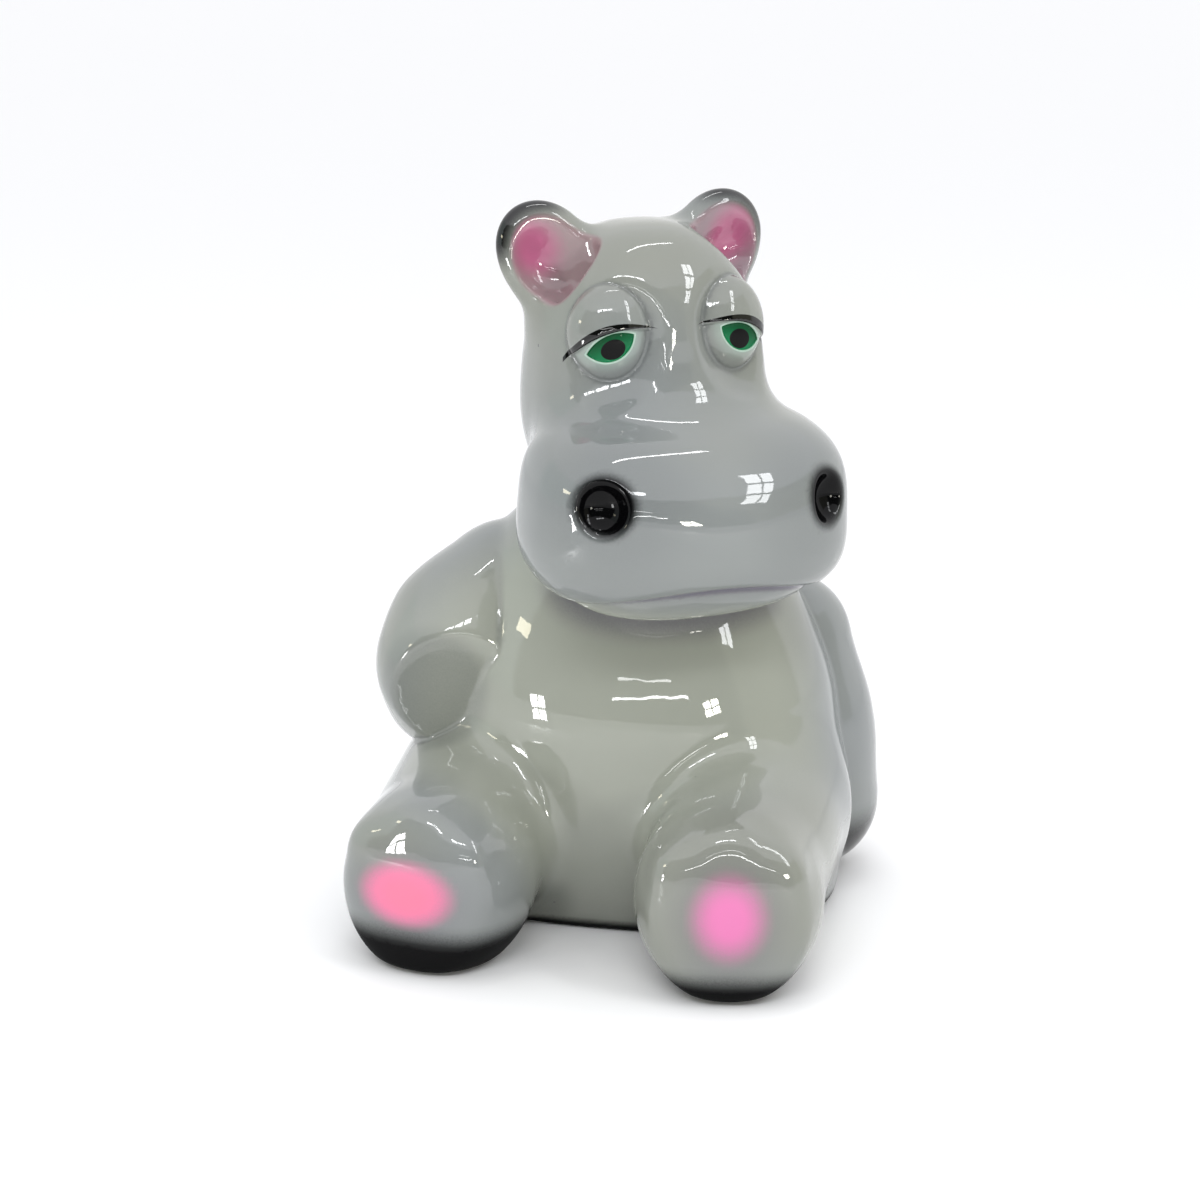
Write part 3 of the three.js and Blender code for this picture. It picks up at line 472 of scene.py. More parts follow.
def nostril_distance(points, place):
    """A bowl that opens straight out from the muzzle."""
    middle = np.array(MUZZLE["centre"]) + NOSTRILS["inward"]
    middle[2] = place[2] + NOSTRILS["inward"][2]
    outward = np.array(place) - middle
    centre = place + outward / np.linalg.norm(outward) * NOSTRILS["proud"]
    return ellipsoid(local(points, centre), NOSTRILS["radii"])


def head_axes(points):
    """Points in the axes of the head."""
    return local(points, HEAD["centre"], HEAD["turn"])


def head_distance(points):
    """Skull, muzzle, ears, eyes, nostrils and jaw, in the axes of the head."""
    beside = np.hypot(points[:, 0] - MUZZLE["centre"][0], MUZZLE_FILLET["rounding"])
    fillet = MUZZLE_FILLET["middle"] - MUZZLE_FILLET["narrowing"] * beside
    fillet = np.maximum(fillet, MUZZLE_FILLET["sides"])
    head = smooth_min(skull_distance(points), muzzle_distance(points), fillet)
    for side in (-1, 1):
        head = smooth_min(head, ear_distance(points, side), EAR["blend"])
    for side in (-1, 1):
        for hollow in (EAR_BOWL, EAR_POCKET):
            head = smooth_max(head, -ear_hollow_distance(points, side, hollow), hollow["blend"])
        head = with_eye(head, points, side)
    for place in NOSTRILS["places"]:
        head = smooth_max(head, -nostril_distance(points, place), NOSTRILS["blend"])
    jaw = pillow(local(points, JAW["centre"]), JAW["radii"], *JAW["powers"])
    return smooth_min(head, jaw, JAW["blend"])


def hippo_distance(points):
    """The whole figurine, cut flat where it sits on the floor."""
    hippo = torso_distance(points)
    for leg in (RIGHT_LEG, LEFT_LEG):
        hippo = smooth_min(hippo, leg_distance(points, leg), LEG_BLEND)
    left_arm = bent_limb(points, LEFT_ARM["places"], LEFT_ARM["radii"], LEFT_ARM["bend"])
    hippo = smooth_min(hippo, left_arm, LEFT_ARM["blend"])
    hippo = smooth_min(hippo, right_arm_distance(points), RIGHT_ARM["blend"])
    tail = bent_limb(points, TAIL["places"], TAIL["radii"], TAIL["bend"])
    hippo = smooth_min(hippo, tail, TAIL["blend"])
    neck = limb(points, NECK["foot"], NECK["top"], *NECK["radii"])
    hippo = smooth_min(hippo, neck, NECK["blend"])
    hippo = smooth_min(hippo, head_distance(head_axes(points)), HEAD["blend"])
    return smooth_max(hippo, -points[:, 2], FLOOR_BLEND)


# The fine surface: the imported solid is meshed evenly, laid onto the exact form, and given smaller
# triangles where the form bends sharply, as at the eyelids, the mouth and the rims of the ears.

# Least slope, squared, that the form is taken to have.
LEAST_SLOPE = 0.2
# How small the triangles get in each round, as a share of the even ones, and how much longer than that
# an edge has to be before it is split.
SPLIT_SHARES = (0.5, 0.25, 0.25)
SPLIT_MARGIN = 1.3
MARKING_ROUNDS = 12


def gradient_of(points, step=0.1):
    """How the distance to the form changes along each axis."""
    columns = []
    for axis in range(3):
        nudge = np.zeros(3)
        nudge[axis] = step
        columns.append((hippo_distance(points + nudge) - hippo_distance(points - nudge)) / (2.0 * step))
    return np.stack(columns, axis=1)


def lay_on_form(points, rounds, longest_move):
    """Moves points straight onto the form, and gives them with their normals."""
    for _ in range(rounds):
        slope = gradient_of(points)
        steepness = np.maximum((slope**2).sum(axis=1), LEAST_SLOPE)
        move = np.clip(hippo_distance(points) / steepness, -longest_move, longest_move)
        points = points - move[:, None] * slope
    slope = gradient_of(points)
    return points, slope / np.maximum(np.linalg.norm(slope, axis=1), TINY)[:, None]


def mark_edges(points, normals, faces, shortest, sharpest):
    """Finds the edges to split: those long enough whose ends face different ways, and then the longest
    edge of each triangle that has a marked one, so that no triangle gets thin."""
    sides = np.sort(faces[:, [[0, 1], [1, 2], [2, 0]]], axis=2).reshape(-1, 2)
    keys, side_edge = np.unique(sides[:, 0] * len(points) + sides[:, 1], return_inverse=True)
    ends = np.stack(np.divmod(keys, len(points)), axis=1)
    length = np.linalg.norm(points[ends[:, 0]] - points[ends[:, 1]], axis=1)
    agreement = (normals[ends[:, 0]] * normals[ends[:, 1]]).sum(axis=1)
    marked = (agreement < math.cos(sharpest)) & (length > shortest)
    side_edge = side_edge.reshape(-1, 3)
    longest = side_edge[np.arange(len(faces)), length[side_edge].argmax(axis=1)]
    for _ in range(MARKING_ROUNDS):
        wanted = longest[marked[side_edge].any(axis=1)]
        if marked[wanted].all():
            break
        marked[wanted] = True
    return ends, marked, side_edge


def split_faces(points, faces, ends, marked, side_edge):
    """Splits the marked edges in half and every triangle beside them into two, three or four."""
    middle = np.cumsum(marked) - 1 + len(points)
    added = points[ends[marked]].mean(axis=1)
    flags = marked[side_edge]
    count = flags.sum(axis=1)
    # Each triangle is turned so that a lone marked edge is its first, or a lone whole edge its last.
    first = np.where(count == 1, flags.argmax(axis=1), (flags.argmin(axis=1) + 1) % 3)
    order = (first[:, None] + np.arange(3)) % 3
    rows = np.arange(len(faces))[:, None]
    a, b, c = faces[rows, order].T
    ab, bc, ca = middle[side_edge[rows, order]].T
    parts = [faces[count == 0]]
    for number, triangles in (
        (1, ((a, ab, c), (ab, b, c))),
        (2, ((ab, b, bc), (a, ab, bc), (a, bc, c))),
        (3, ((a, ab, ca), (ab, b, bc), (ca, bc, c), (ab, bc, ca))),
    ):
        chosen = count == number
        parts += [np.stack([corner[chosen] for corner in triangle], axis=1) for triangle in triangles]
    return np.concatenate((points, added)), np.concatenate(parts)


def even_mesh(voxel):
    """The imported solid's triangles, joined up and meshed again with even faces."""
    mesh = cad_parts[SOLID].data.copy()
    build = bmesh.new()
    build.from_mesh(mesh)
    bmesh.ops.remove_doubles(build, verts=build.verts, dist=1e-6)
    build.to_mesh(mesh)
    build.free()
    rough = bpy.data.objects.new("even_mesh", mesh)
    bpy.context.scene.collection.objects.link(rough)
    remesh = rough.modifiers.new("even", "REMESH")
    remesh.mode = "VOXEL"
    remesh.voxel_size = voxel
    even = bpy.data.meshes.new_from_object(rough.evaluated_get(bpy.context.evaluated_depsgraph_get()))
    even.calc_loop_triangles()
    points = np.empty(len(even.vertices) * 3)
    even.vertices.foreach_get("co", points)
    faces = np.empty(len(even.loop_triangles) * 3, np.int64)
    even.loop_triangles.foreach_get("vertices", faces)
    bpy.data.objects.remove(rough)
    for used in (mesh, even):
        bpy.data.meshes.remove(used)
    return points.reshape(-1, 3) / MM + ORIGIN, faces.reshape(-1, 3)


def fine_form(form):
    """Points and triangles of the fine surface, in millimetres."""
    points, faces = even_mesh(form.mesh_size)
    longest_move = form.mesh_size / MM
    points, normals = lay_on_form(points, rounds=3, longest_move=longest_move)
    for share in SPLIT_SHARES:
        shortest = longest_move * share * SPLIT_MARGIN
        marks = mark_edges(points, normals, faces, shortest, form.sharpest_bend)
        points, faces = split_faces(points, faces, *marks)
        points, normals = lay_on_form(points, rounds=2, longest_move=longest_move * share)
    return points, faces


# Airbrushed colour, and painted shade and painted light: each spray is worked out for every point of the
# surface, from 0, bare, to 1, full.

def spray(name, measure):
    """How much of a spray there is, by its measure: it thins out smoothly from full to none."""
    full, bare, *most = SPRAYS[name]
    share = np.clip((measure - bare) / (full - bare), 0.0, 1.0)
    return share * share * (3.0 - 2.0 * share) * (most[0] if most else 1.0)


def bend_of(points, step=2.5):
    """How the form curves, in parts of a millimetre: above 0 where it bulges, below 0 in a crease."""
    around = -6.0 * hippo_distance(points)
    for nudge in np.vstack((np.eye(3), -np.eye(3))) * step:
        around += hippo_distance(points + nudge)
    return around / step**2


def ear_sprays(head, side):
    """The inside of one ear, the pink in it, and the black on its rim."""
    hollows = [ear_hollow_distance(head, side, hollow) for hollow in (EAR_BOWL, EAR_POCKET)]
    inside = spray("ear_inside", np.minimum(*hollows))
    yaw, pitch, roll = EAR["turn"]
    ear = local(head, ear_place(side), (side * yaw, pitch, side * roll)) / EAR["radii"]
    place = np.stack((side * ear[:, 0], ear[:, 2]), axis=1)
    reach = np.linalg.norm((place - EAR_PINK["middle"]) / EAR_PINK["half_size"], axis=1)
    rim = spray("ear_rim", np.linalg.norm(place, axis=1)) * spray("ear_rim_top", place[:, 1])
    return inside, inside * (EAR_PINK["least"] + spray("ear_pink", reach)), rim


def nostril_sprays(head, place):
    """The black in one nostril, the grey haze around it, and how far the glaze is wiped off there."""
    reach = np.linalg.norm((head - place) / NOSTRIL_STRETCH, axis=1)
    return [spray(name, reach) for name in ("nostril", "nostril_haze", "nostril_wiped")]


def sole_sprays(points, leg):
    """The soft pink oval on the sole of a foot, and the mauve haze around it."""
    side, back, up = local(points, leg["sole"], (leg["yaw"], 0, 0)).T
    half_width, half_height = leg["paint"]
    reach = np.hypot(side / half_width, (up - SOLE_PINK_RAISED) / half_height)
    return [spray(name, reach) * spray("sole_front", back) for name in ("sole", "sole_haze")]


def foot_sprays(points):
    """The black along the bottom of the feet and the body, and the black on the left paw."""
    side, back, height = points.T
    right = spray("right_foot", height) * spray("foot_inner", -side)
    left = spray("left_foot", height) * spray("foot_inner", side)
    under = np.maximum(np.maximum(right, left) * spray("foot_front", back), spray("hem", height))
    return under, spray("paw", height) * spray("paw_side", side) * spray("paw_back", back)


def mouth_paint_and_jaw_shade(points, head):
    """The mauve along the mouth, and painted shade in mauve on the chest under the jaw."""
    mouth = head[:, 2] - MOUTH["height"] + MOUTH["droop"] * (head[:, 0] - MOUTH["middle"]) ** 2
    from_head = head_distance(head)
    shade = spray("jaw_shade", from_head) * spray("off_jaw", from_head) * spray("jaw_front", points[:, 1])
    return np.maximum(spray("mouth", np.abs(mouth)) * spray("mouth_front", head[:, 1]), shade)


def oval_spray(points, name):
    """Paint that fades out at the edge of an egg-shaped part of the body: painted shade on the elbow flat,
    painted light on the belly.
    """
    oval = OVALS[name]
    return spray(name, np.linalg.norm((points - oval["centre"]) / oval["radii"], axis=1))


def eye_sprays(head):
    """The place on the nearer eye, the pale lower lid, which is partly a painted highlight on its ridge,
    and how far the glaze is wiped off the eyes.
    """
    places = []
    for side in (-1, 1):
        eye = eye_axes(head, side)
        places.append(np.stack((*eye_plane(eye), eye[:, 1]), axis=1))
    eye = np.where((head[:, 0] > EYE["middle"])[:, None], places[1], places[0])
    across, above, back = eye.T
    opening, front = opening_distance(across, above), spray("eye_front", back)
    lid = spray("lower_lid", opening) * spray("under_upper_lid", above - lid_height(across)) * front
    return eye, lid, spray("eye_wiped", opening) * front


def spray_masks(points):
    """How much of each spray lies on every point, and the place of each point on the nearer eye."""
    head = head_axes(points)
    inside, pink, rims = np.maximum(*(np.array(ear_sprays(head, side)) for side in (-1, 1)))
    nostrils = [np.array(nostril_sprays(head, place)) for place in NOSTRILS["places"]]
    nostril, nostril_haze, nostril_wiped = np.maximum(*nostrils)
    sole, haze = np.maximum(*(np.array(sole_sprays(points, leg)) for leg in (LEFT_LEG, RIGHT_LEG)))
    under, paw = foot_sprays(points)
    # Painted shade in the creases, kept out of the ears.
    creases = spray("crease", bend_of(points)) * (1.0 - inside)
    eye, lower_lid, eye_wiped = eye_sprays(head)
    return {
        # Painted light over the belly, chest and arms.
        "painted_light": oval_spray(points, "belly"),
        # Painted shade in the creases and on the elbow flat, and a grey haze round the nostrils.
        "painted_shade_and_haze": np.maximum.reduce((creases, nostril_haze, oval_spray(points, "elbow"))),
        "ear_pink": pink,
        "sole_pink": sole,
        "salmon": sole * spray("right_side", points[:, 0]),
        "black_spray": np.maximum.reduce((rims, nostril, under, paw)),
        # Mauve along the mouth and round the soles, and painted shade under the jaw.
        "mauve_and_jaw_shade": np.maximum(haze, mouth_paint_and_jaw_shade(points, head)),
        # Pale paint on the lower lids, partly a painted highlight on their ridge.
        "pale_lid_and_highlight": lower_lid,
        "wiped_glaze": np.maximum.reduce((nostril_wiped, eye_wiped, under)),
        "eye_place": eye,
    }


def mesh_from(name, points, faces):
    """A smooth mesh in metres in the figurine's own frame."""
    mesh = bpy.data.meshes.new(name)
    mesh.vertices.add(len(points))
    mesh.vertices.foreach_set("co", ((points - ORIGIN) * MM).ravel())
    mesh.loops.add(faces.size)
    mesh.loops.foreach_set("vertex_index", faces.ravel())
    mesh.polygons.add(len(faces))
    mesh.polygons.foreach_set("loop_start", np.arange(0, faces.size, 3))
    mesh.update(calc_edges=True)
    mesh.validate()
    mesh.shade_smooth()
    return mesh


# Materials.

def linear(hex_colour):
    """An sRGB hex colour as linear red, green and blue."""
    parts = [int(hex_colour[place:place + 2], 16) / 255.0 for place in (1, 3, 5)]
    return [part / 12.92 if part <= 0.04045 else ((part + 0.055) / 1.055) ** 2.4 for part in parts]


def opaque(colour, factor=1.0):
    """A property's colour, lighter or darker by a factor, with alpha for a socket."""
    return [min(1.0, part * factor) for part in colour] + [1.0]


def add_node(tree, kind, inputs=None, **settings):
    """Adds a node with its settings. An input is a value, another node's socket to link, or a node,
    which stands for its first socket."""
    node = tree.nodes.new(kind)
    for name, value in settings.items():
        setattr(node, name, value)
    for name, value in (inputs or {}).items():
        if isinstance(value, bpy.types.Node):
            value = value.outputs[0]
        if isinstance(value, bpy.types.NodeSocket):
            tree.links.new(value, node.inputs[name])
        else:
            node.inputs[name].default_value = value
    return node


def eye_coats(tree, glaze):
    """The brushwork on the eyes, by the place on the eye in millimetres: how much of each coat of paint
    there is, and its colour."""
    place = add_node(tree, "ShaderNodeAttribute", attribute_name="eye_place").outputs["Vector"]
    across, above, back = add_node(tree, "ShaderNodeSeparateXYZ", {0: place}).outputs
    arcs = []
    for height, up in ((EYE_OPENING["top"], 1), (EYE_OPENING["bottom"], -1)):
        radius = arc_radius(EYE_OPENING["half_width"], height)
        rise = add_node(tree, "ShaderNodeMath", {0: above, 1: up, 2: radius - height},
                        operation="MULTIPLY_ADD")
        reach = add_node(tree, "ShaderNodeCombineXYZ", {0: across, 1: rise})
        reach = add_node(tree, "ShaderNodeVectorMath", {0: reach}, operation="LENGTH").outputs["Value"]
        arcs.append(add_node(tree, "ShaderNodeMath", {0: reach, 1: radius}, operation="SUBTRACT"))
    opening = add_node(tree, "ShaderNodeMath", {0: arcs[0], 1: arcs[1]}, operation="MAXIMUM")
    front = add_node(tree, "ShaderNodeMath", {0: back, 1: EYE_FRONT}, operation="LESS_THAN")
    inside = add_node(tree, "ShaderNodeMath", {0: opening, 1: 0.0}, operation="LESS_THAN")

    bent = add_node(tree, "ShaderNodeMath", {0: across, 1: UPPER_LID["middle"]}, operation="SUBTRACT")
    bent = add_node(tree, "ShaderNodeMath", {0: bent, 1: 2.0}, operation="POWER")
    line = add_node(tree, "ShaderNodeMath", {0: bent, 1: -UPPER_LID["curve"], 2: LASH["arch"]},
                    operation="MULTIPLY_ADD")
    width = add_node(tree, "ShaderNodeMath", {0: bent, 1: -LASH["taper"], 2: LASH["half_width"]},
                     operation="MULTIPLY_ADD")
    lash = add_node(tree, "ShaderNodeMath", {0: above, 1: line}, operation="SUBTRACT")
    lash = add_node(tree, "ShaderNodeMath", {0: lash}, operation="ABSOLUTE")
    lash = add_node(tree, "ShaderNodeMath", {0: lash, 1: width}, operation="SUBTRACT")

    pupil = add_node(tree, "ShaderNodeVectorMath", {0: place, 1: PUPIL["middle"]}, operation="SUBTRACT")
    pupil = add_node(tree, "ShaderNodeVectorMath", {0: pupil, 1: PUPIL["stretch"]}, operation="MULTIPLY")
    pupil = add_node(tree, "ShaderNodeVectorMath", {0: pupil}, operation="LENGTH").outputs["Value"]

    # Painted shade under the upper lid: the green darkens upwards.
    darker = add_node(tree, "ShaderNodeMapRange",
                      {"Value": above, "From Min": IRIS["pale_up_to"], "From Max": IRIS["dark_from"]},
                      interpolation_type="SMOOTHSTEP")
    iris = add_node(tree, "ShaderNodeMix",
                    {0: darker, 6: opaque(glaze.iris_pale), 7: opaque(glaze.iris)}, data_type="RGBA")
    coats = []
    # Each coat's measure, where it ends and where it is full, its colour, and what it stays within.
    for measure, bare, full, paint, limits in (
        (opening, RIM["bare"], RIM["full"], opaque(glaze.eye_rim), (front,)),
        (opening, IRIS["bare"], IRIS["full"], iris.outputs[2], (front,)),
        (pupil, PUPIL["bare"], PUPIL["full"], opaque(glaze.pupil), (front, inside)),
        (lash, BRUSH_EDGE, -BRUSH_EDGE, opaque(glaze.lash), (front,)),
    ):
        amount = add_node(tree, "ShaderNodeMapRange",
                          {"Value": measure, "From Min": bare, "From Max": full},
                          interpolation_type="SMOOTHSTEP")
        for limit in limits:
            amount = add_node(tree, "ShaderNodeMath", {0: amount, 1: limit}, operation="MULTIPLY")
        coats.append((amount, paint))
    return coats


def spray_coats(tree, place, glaze):
    """The airbrush work, painted shade and painted light among it: how much of each spray lies on the
    surface, and its colour. The mist in them is dots of paint about half a millimetre across, which show
    most where a spray covers half."""
    mist = add_node(tree, "ShaderNodeTexNoise", {"Vector": place, **MIST_DOTS})
    mist = add_node(tree, "ShaderNodeMapRange", {"Value": mist, **MIST_STRENGTH})
    coats = []
    for name, paint in (
        ("painted_light", glaze.painted_light_grey),
        ("painted_shade_and_haze", glaze.crease),
        ("mauve_and_jaw_shade", glaze.mauve),
        ("ear_pink", glaze.ear_pink),
        ("sole_pink", glaze.sole_pink),
        ("salmon", glaze.salmon),
        ("black_spray", glaze.black),
        ("pale_lid_and_highlight", glaze.eye_rim),
    ):
        cover = add_node(tree, "ShaderNodeAttribute", attribute_name=name).outputs["Fac"]
        # A turn of a cosine over the cover: 0 where it is bare or full, and 1 half way.
        thin = add_node(tree, "ShaderNodeMath", {0: cover, 1: math.tau}, operation="MULTIPLY")
        thin = add_node(tree, "ShaderNodeMath", {0: thin}, operation="COSINE")
        thin = add_node(tree, "ShaderNodeMath", {0: thin, 1: -0.5, 2: 0.5}, operation="MULTIPLY_ADD")
        amount = add_node(tree, "ShaderNodeMath", {0: mist, 1: thin, 2: cover},
                          operation="MULTIPLY_ADD", use_clamp=True)
        coats.append((amount, opaque(paint)))
    return coats


def airbrushed_glaze(glaze):
    """Slip-cast earthenware, airbrushed and dipped in clear gloss glaze, with painted shade in the creases
    and painted light on the belly. The eye sees soft-edged sprays under one continuous glassy skin, whose
    slow ripples break up the reflections."""
    material = bpy.data.materials.new("airbrushed_glaze")
    material.use_nodes = True
    tree = material.node_tree
    tree.nodes.clear()
    place = add_node(tree, "ShaderNodeTexCoord").outputs["Object"]

    # Patches a hand's breadth wide, lighter or olive, as uneven spraying leaves them.
    patches = add_node(tree, "ShaderNodeTexNoise", {"Vector": place, **GREY_PATCHES})
    warmth = add_node(tree, "ShaderNodeTexNoise", {"Vector": place, **WARM_PATCHES})
    warmth = add_node(tree, "ShaderNodeMapRange", {"Value": warmth, **WARM_COVER},
                      interpolation_type="SMOOTHSTEP")
    # Glaze pinholes about a millimetre wide, a few on each side.
    cells = add_node(tree, "ShaderNodeTexVoronoi", {"Vector": place, **PINHOLES}).outputs["Distance"]
    pinhole = add_node(tree, "ShaderNodeMapRange", {"Value": cells, **PINHOLE_REACH})
    # Every coat is laid over the ones before it.
    colour = opaque(glaze.grey)
    for amount, paint in (
        (patches, opaque(glaze.grey_light)),
        (warmth, opaque(glaze.grey_warm)),
        *spray_coats(tree, place, glaze),
        *eye_coats(tree, glaze),
        (pinhole, opaque(glaze.pinhole)),
    ):
        coat = add_node(tree, "ShaderNodeMix", {0: amount, 6: colour, 7: paint}, data_type="RGBA")
        colour = coat.outputs[2]

    # The ripple of the glaze is a few hundredths of a millimetre high, and the pinholes dip below it.
    waves = add_node(tree, "ShaderNodeTexNoise", {"Vector": place, **RIPPLES})
    pits = add_node(tree, "ShaderNodeMath", {0: pinhole, 1: -PINHOLE_DEPTH, 2: waves},
                    operation="MULTIPLY_ADD")
    ripple = add_node(tree, "ShaderNodeBump", {"Height": pits, "Strength": 1.0, "Distance": RIPPLE_HEIGHT})
    # The glaze is wiped thin under the feet, so that they don't stick in the kiln, and it is thin in
    # the nostrils and on the eyes, which look darker for it.
    wiped = add_node(tree, "ShaderNodeAttribute", attribute_name="wiped_glaze").outputs["Fac"]
    coat = add_node(tree, "ShaderNodeMapRange", {"Value": wiped, **WIPED_COAT})
    shader = add_node(tree, "ShaderNodeBsdfPrincipled", {
        "Base Color": colour,
        "Roughness": 0.5,
        "Specular IOR Level": 0.0,
        "Coat Weight": coat,
        "Coat Roughness": 0.025,
        "Coat IOR": 1.6,
        "Normal": ripple,
        "Coat Normal": ripple,
    })
    add_node(tree, "ShaderNodeOutputMaterial", {"Surface": shader})
    return material


def matt_paper(colour):
    """Seamless backdrop paper: matt, so it shows soft shadows and no reflections."""
    material = bpy.data.materials.new("backdrop_paper")
    material.use_nodes = True
    tree = material.node_tree
    tree.nodes.clear()
    place = add_node(tree, "ShaderNodeTexCoord").outputs["Object"]
    fibres = add_node(tree, "ShaderNodeTexNoise", {"Vector": place, **PAPER_FIBRES})
    shade = add_node(tree, "ShaderNodeMix",
                     {0: fibres, 6: opaque(colour), 7: opaque(colour, FIBRE_CONTRAST)},
                     data_type="RGBA")
    shader = add_node(tree, "ShaderNodeBsdfPrincipled",
                      {"Base Color": shade.outputs[2], "Roughness": 0.9, "Specular IOR Level": 0.1})
    add_node(tree, "ShaderNodeOutputMaterial", {"Surface": shader})
    return material


def ripple_tree():
    """Geometry Nodes that give the skin of glaze slow waves along its normal, and its material."""
    tree = bpy.data.node_groups.new("glaze_ripple", "GeometryNodeTree")
    sockets = {}
    for name, kind, way in (
        ("Geometry", "NodeSocketGeometry", "INPUT"),
        ("Wave Height", "NodeSocketFloat", "INPUT"),
        ("Waves Per Metre", "NodeSocketFloat", "INPUT"),
        ("Glaze", "NodeSocketMaterial", "INPUT"),
        ("Geometry", "NodeSocketGeometry", "OUTPUT"),
    ):
        sockets[name, way] = tree.interface.new_socket(name, in_out=way, socket_type=kind)
    given = add_node(tree, "NodeGroupInput").outputs
    waves = add_node(tree, "ShaderNodeTexNoise", {"Scale": given["Waves Per Metre"], "Detail": 0.0})
    height = add_node(tree, "ShaderNodeMath", {0: waves, 1: 0.5}, operation="SUBTRACT")
    height = add_node(tree, "ShaderNodeMath", {0: height, 1: given["Wave Height"]}, operation="MULTIPLY")
    normal = add_node(tree, "GeometryNodeInputNormal")
    push = add_node(tree, "ShaderNodeVectorMath", {0: normal, "Scale": height}, operation="SCALE")
    moved = add_node(tree, "GeometryNodeSetPosition", {"Geometry": given["Geometry"], "Offset": push})
    real = add_node(tree, "GeometryNodeRealizeInstances", {"Geometry": moved})
    glazed = add_node(tree, "GeometryNodeSetMaterial", {"Geometry": real, "Material": given["Glaze"]})
    add_node(tree, "NodeGroupOutput", {"Geometry": glazed})
    return tree, {name: socket.identifier for (name, way), socket in sockets.items() if way == "INPUT"}


# What a user would change.

class HippoForm(bpy.types.PropertyGroup):
    """Sizes of the fine surface."""

    mesh_size: FloatProperty(
        name="Mesh Size", description="Width of the even faces of the surface",
        default=0.00212, min=0.001, max=0.01, unit="LENGTH", precision=5)
    sharpest_bend: FloatProperty(
        name="Sharpest Bend", description="How far one edge may bend before it is split",
        default=math.radians(9.0), min=math.radians(3.0), max=math.radians(45.0), subtype="ANGLE")
    wave_height: FloatProperty(
        name="Wave Height", description="Height of the slow waves in the casting under the glaze",
        default=0.0005, min=0.0, max=0.003, unit="LENGTH", precision=5)
    wave_length: FloatProperty(
        name="Wave Length", description="Length of the slow waves in the casting",
        default=0.035, min=0.005, max=0.2, unit="LENGTH")


def colour_property(name, description, hex_colour):
    """A colour that the panel shows, given as sRGB hex."""
    return FloatVectorProperty(
        name=name, description=description, default=linear(hex_colour),
        subtype="COLOR", size=3, min=0.0, max=1.0)


class HippoGlaze(bpy.types.PropertyGroup):
    """Colours of the glaze and of the brushwork."""

    grey: colour_property("Grey", "Main grey of the body", "#7a7e80")
    grey_light: colour_property("Light Grey", "Lighter patches of the grey", "#8a8e8b")
    grey_warm: colour_property("Warm Grey", "Patches where the grey turns olive", "#868779")
    # Painted light: a paler grey that lifts the belly, chest and arms out of the head's shade.
    painted_light_grey: colour_property("Pale Grey", "Spray on the belly, chest and arms", "#999c92")
    # This grey is painted shade in the creases and on the elbow flat, and a haze round the nostrils.
    crease: colour_property("Crease", "Glaze that has pooled in the creases", "#55595a")
    ear_pink: colour_property("Ear Pink", "Spray in the ears", "#b86689")
    sole_pink: colour_property("Left Sole Pink", "Spray on the left sole", "#d971aa")
    salmon: colour_property("Right Sole Pink", "Spray on the right sole", "#e67293")
    # This mauve is also painted shade on the chest under the jaw.
    mauve: colour_property("Mauve", "Shade along the mouth and round the soles", "#5c5864")
    black: colour_property("Black", "Spray on nostrils, ear rims, left paw and feet", "#060607")
    iris: colour_property("Iris", "Green of the eyes", "#024524")
    # The lower green fading into the darker green above it is painted shade under the upper lid.
    iris_pale: colour_property("Lower Iris", "Lighter green low in the eyes", "#157246")
    # Also laid on the lower lids, where it is partly a painted highlight on their ridge.
    eye_rim: colour_property("Eye Rim", "Pale paint round the eyes", "#a3bcae")
    pupil: colour_property("Pupil", "Black of the pupils", "#040404")
    lash: colour_property("Lash", "Black of the line over each eye", "#040404")
    pinhole: colour_property("Pinhole", "Bottom of a pinhole in the glaze", "#5c5f5e")


class HippoStage(bpy.types.PropertyGroup):
    """The floor and the lights."""

    paper: colour_property("Paper", "Colour of the backdrop paper", "#f7f7f7")
    ceiling: colour_property("Ceiling", "Light from above", "#fbfbff")
    wall_right: colour_property("Right Wall", "Light from the figurine's right", "#dde8e6")
    wall_left: colour_property("Left Wall", "Light from the figurine's left", "#a8a898")
    wall_front: colour_property("Front Wall", "Light from behind the camera", "#3c403c")
    wall_back: colour_property("Back Wall", "Light from behind the figurine", "#f4f4f4")
    room_light: FloatProperty(
        name="Room Light", description="Strength of the light from the room",
        default=1.25, min=0.0, max=10.0)
    brightness: FloatProperty(
        name="Brightness", description="Strength of the studio lights",
        default=1.0, min=0.0, max=10.0)


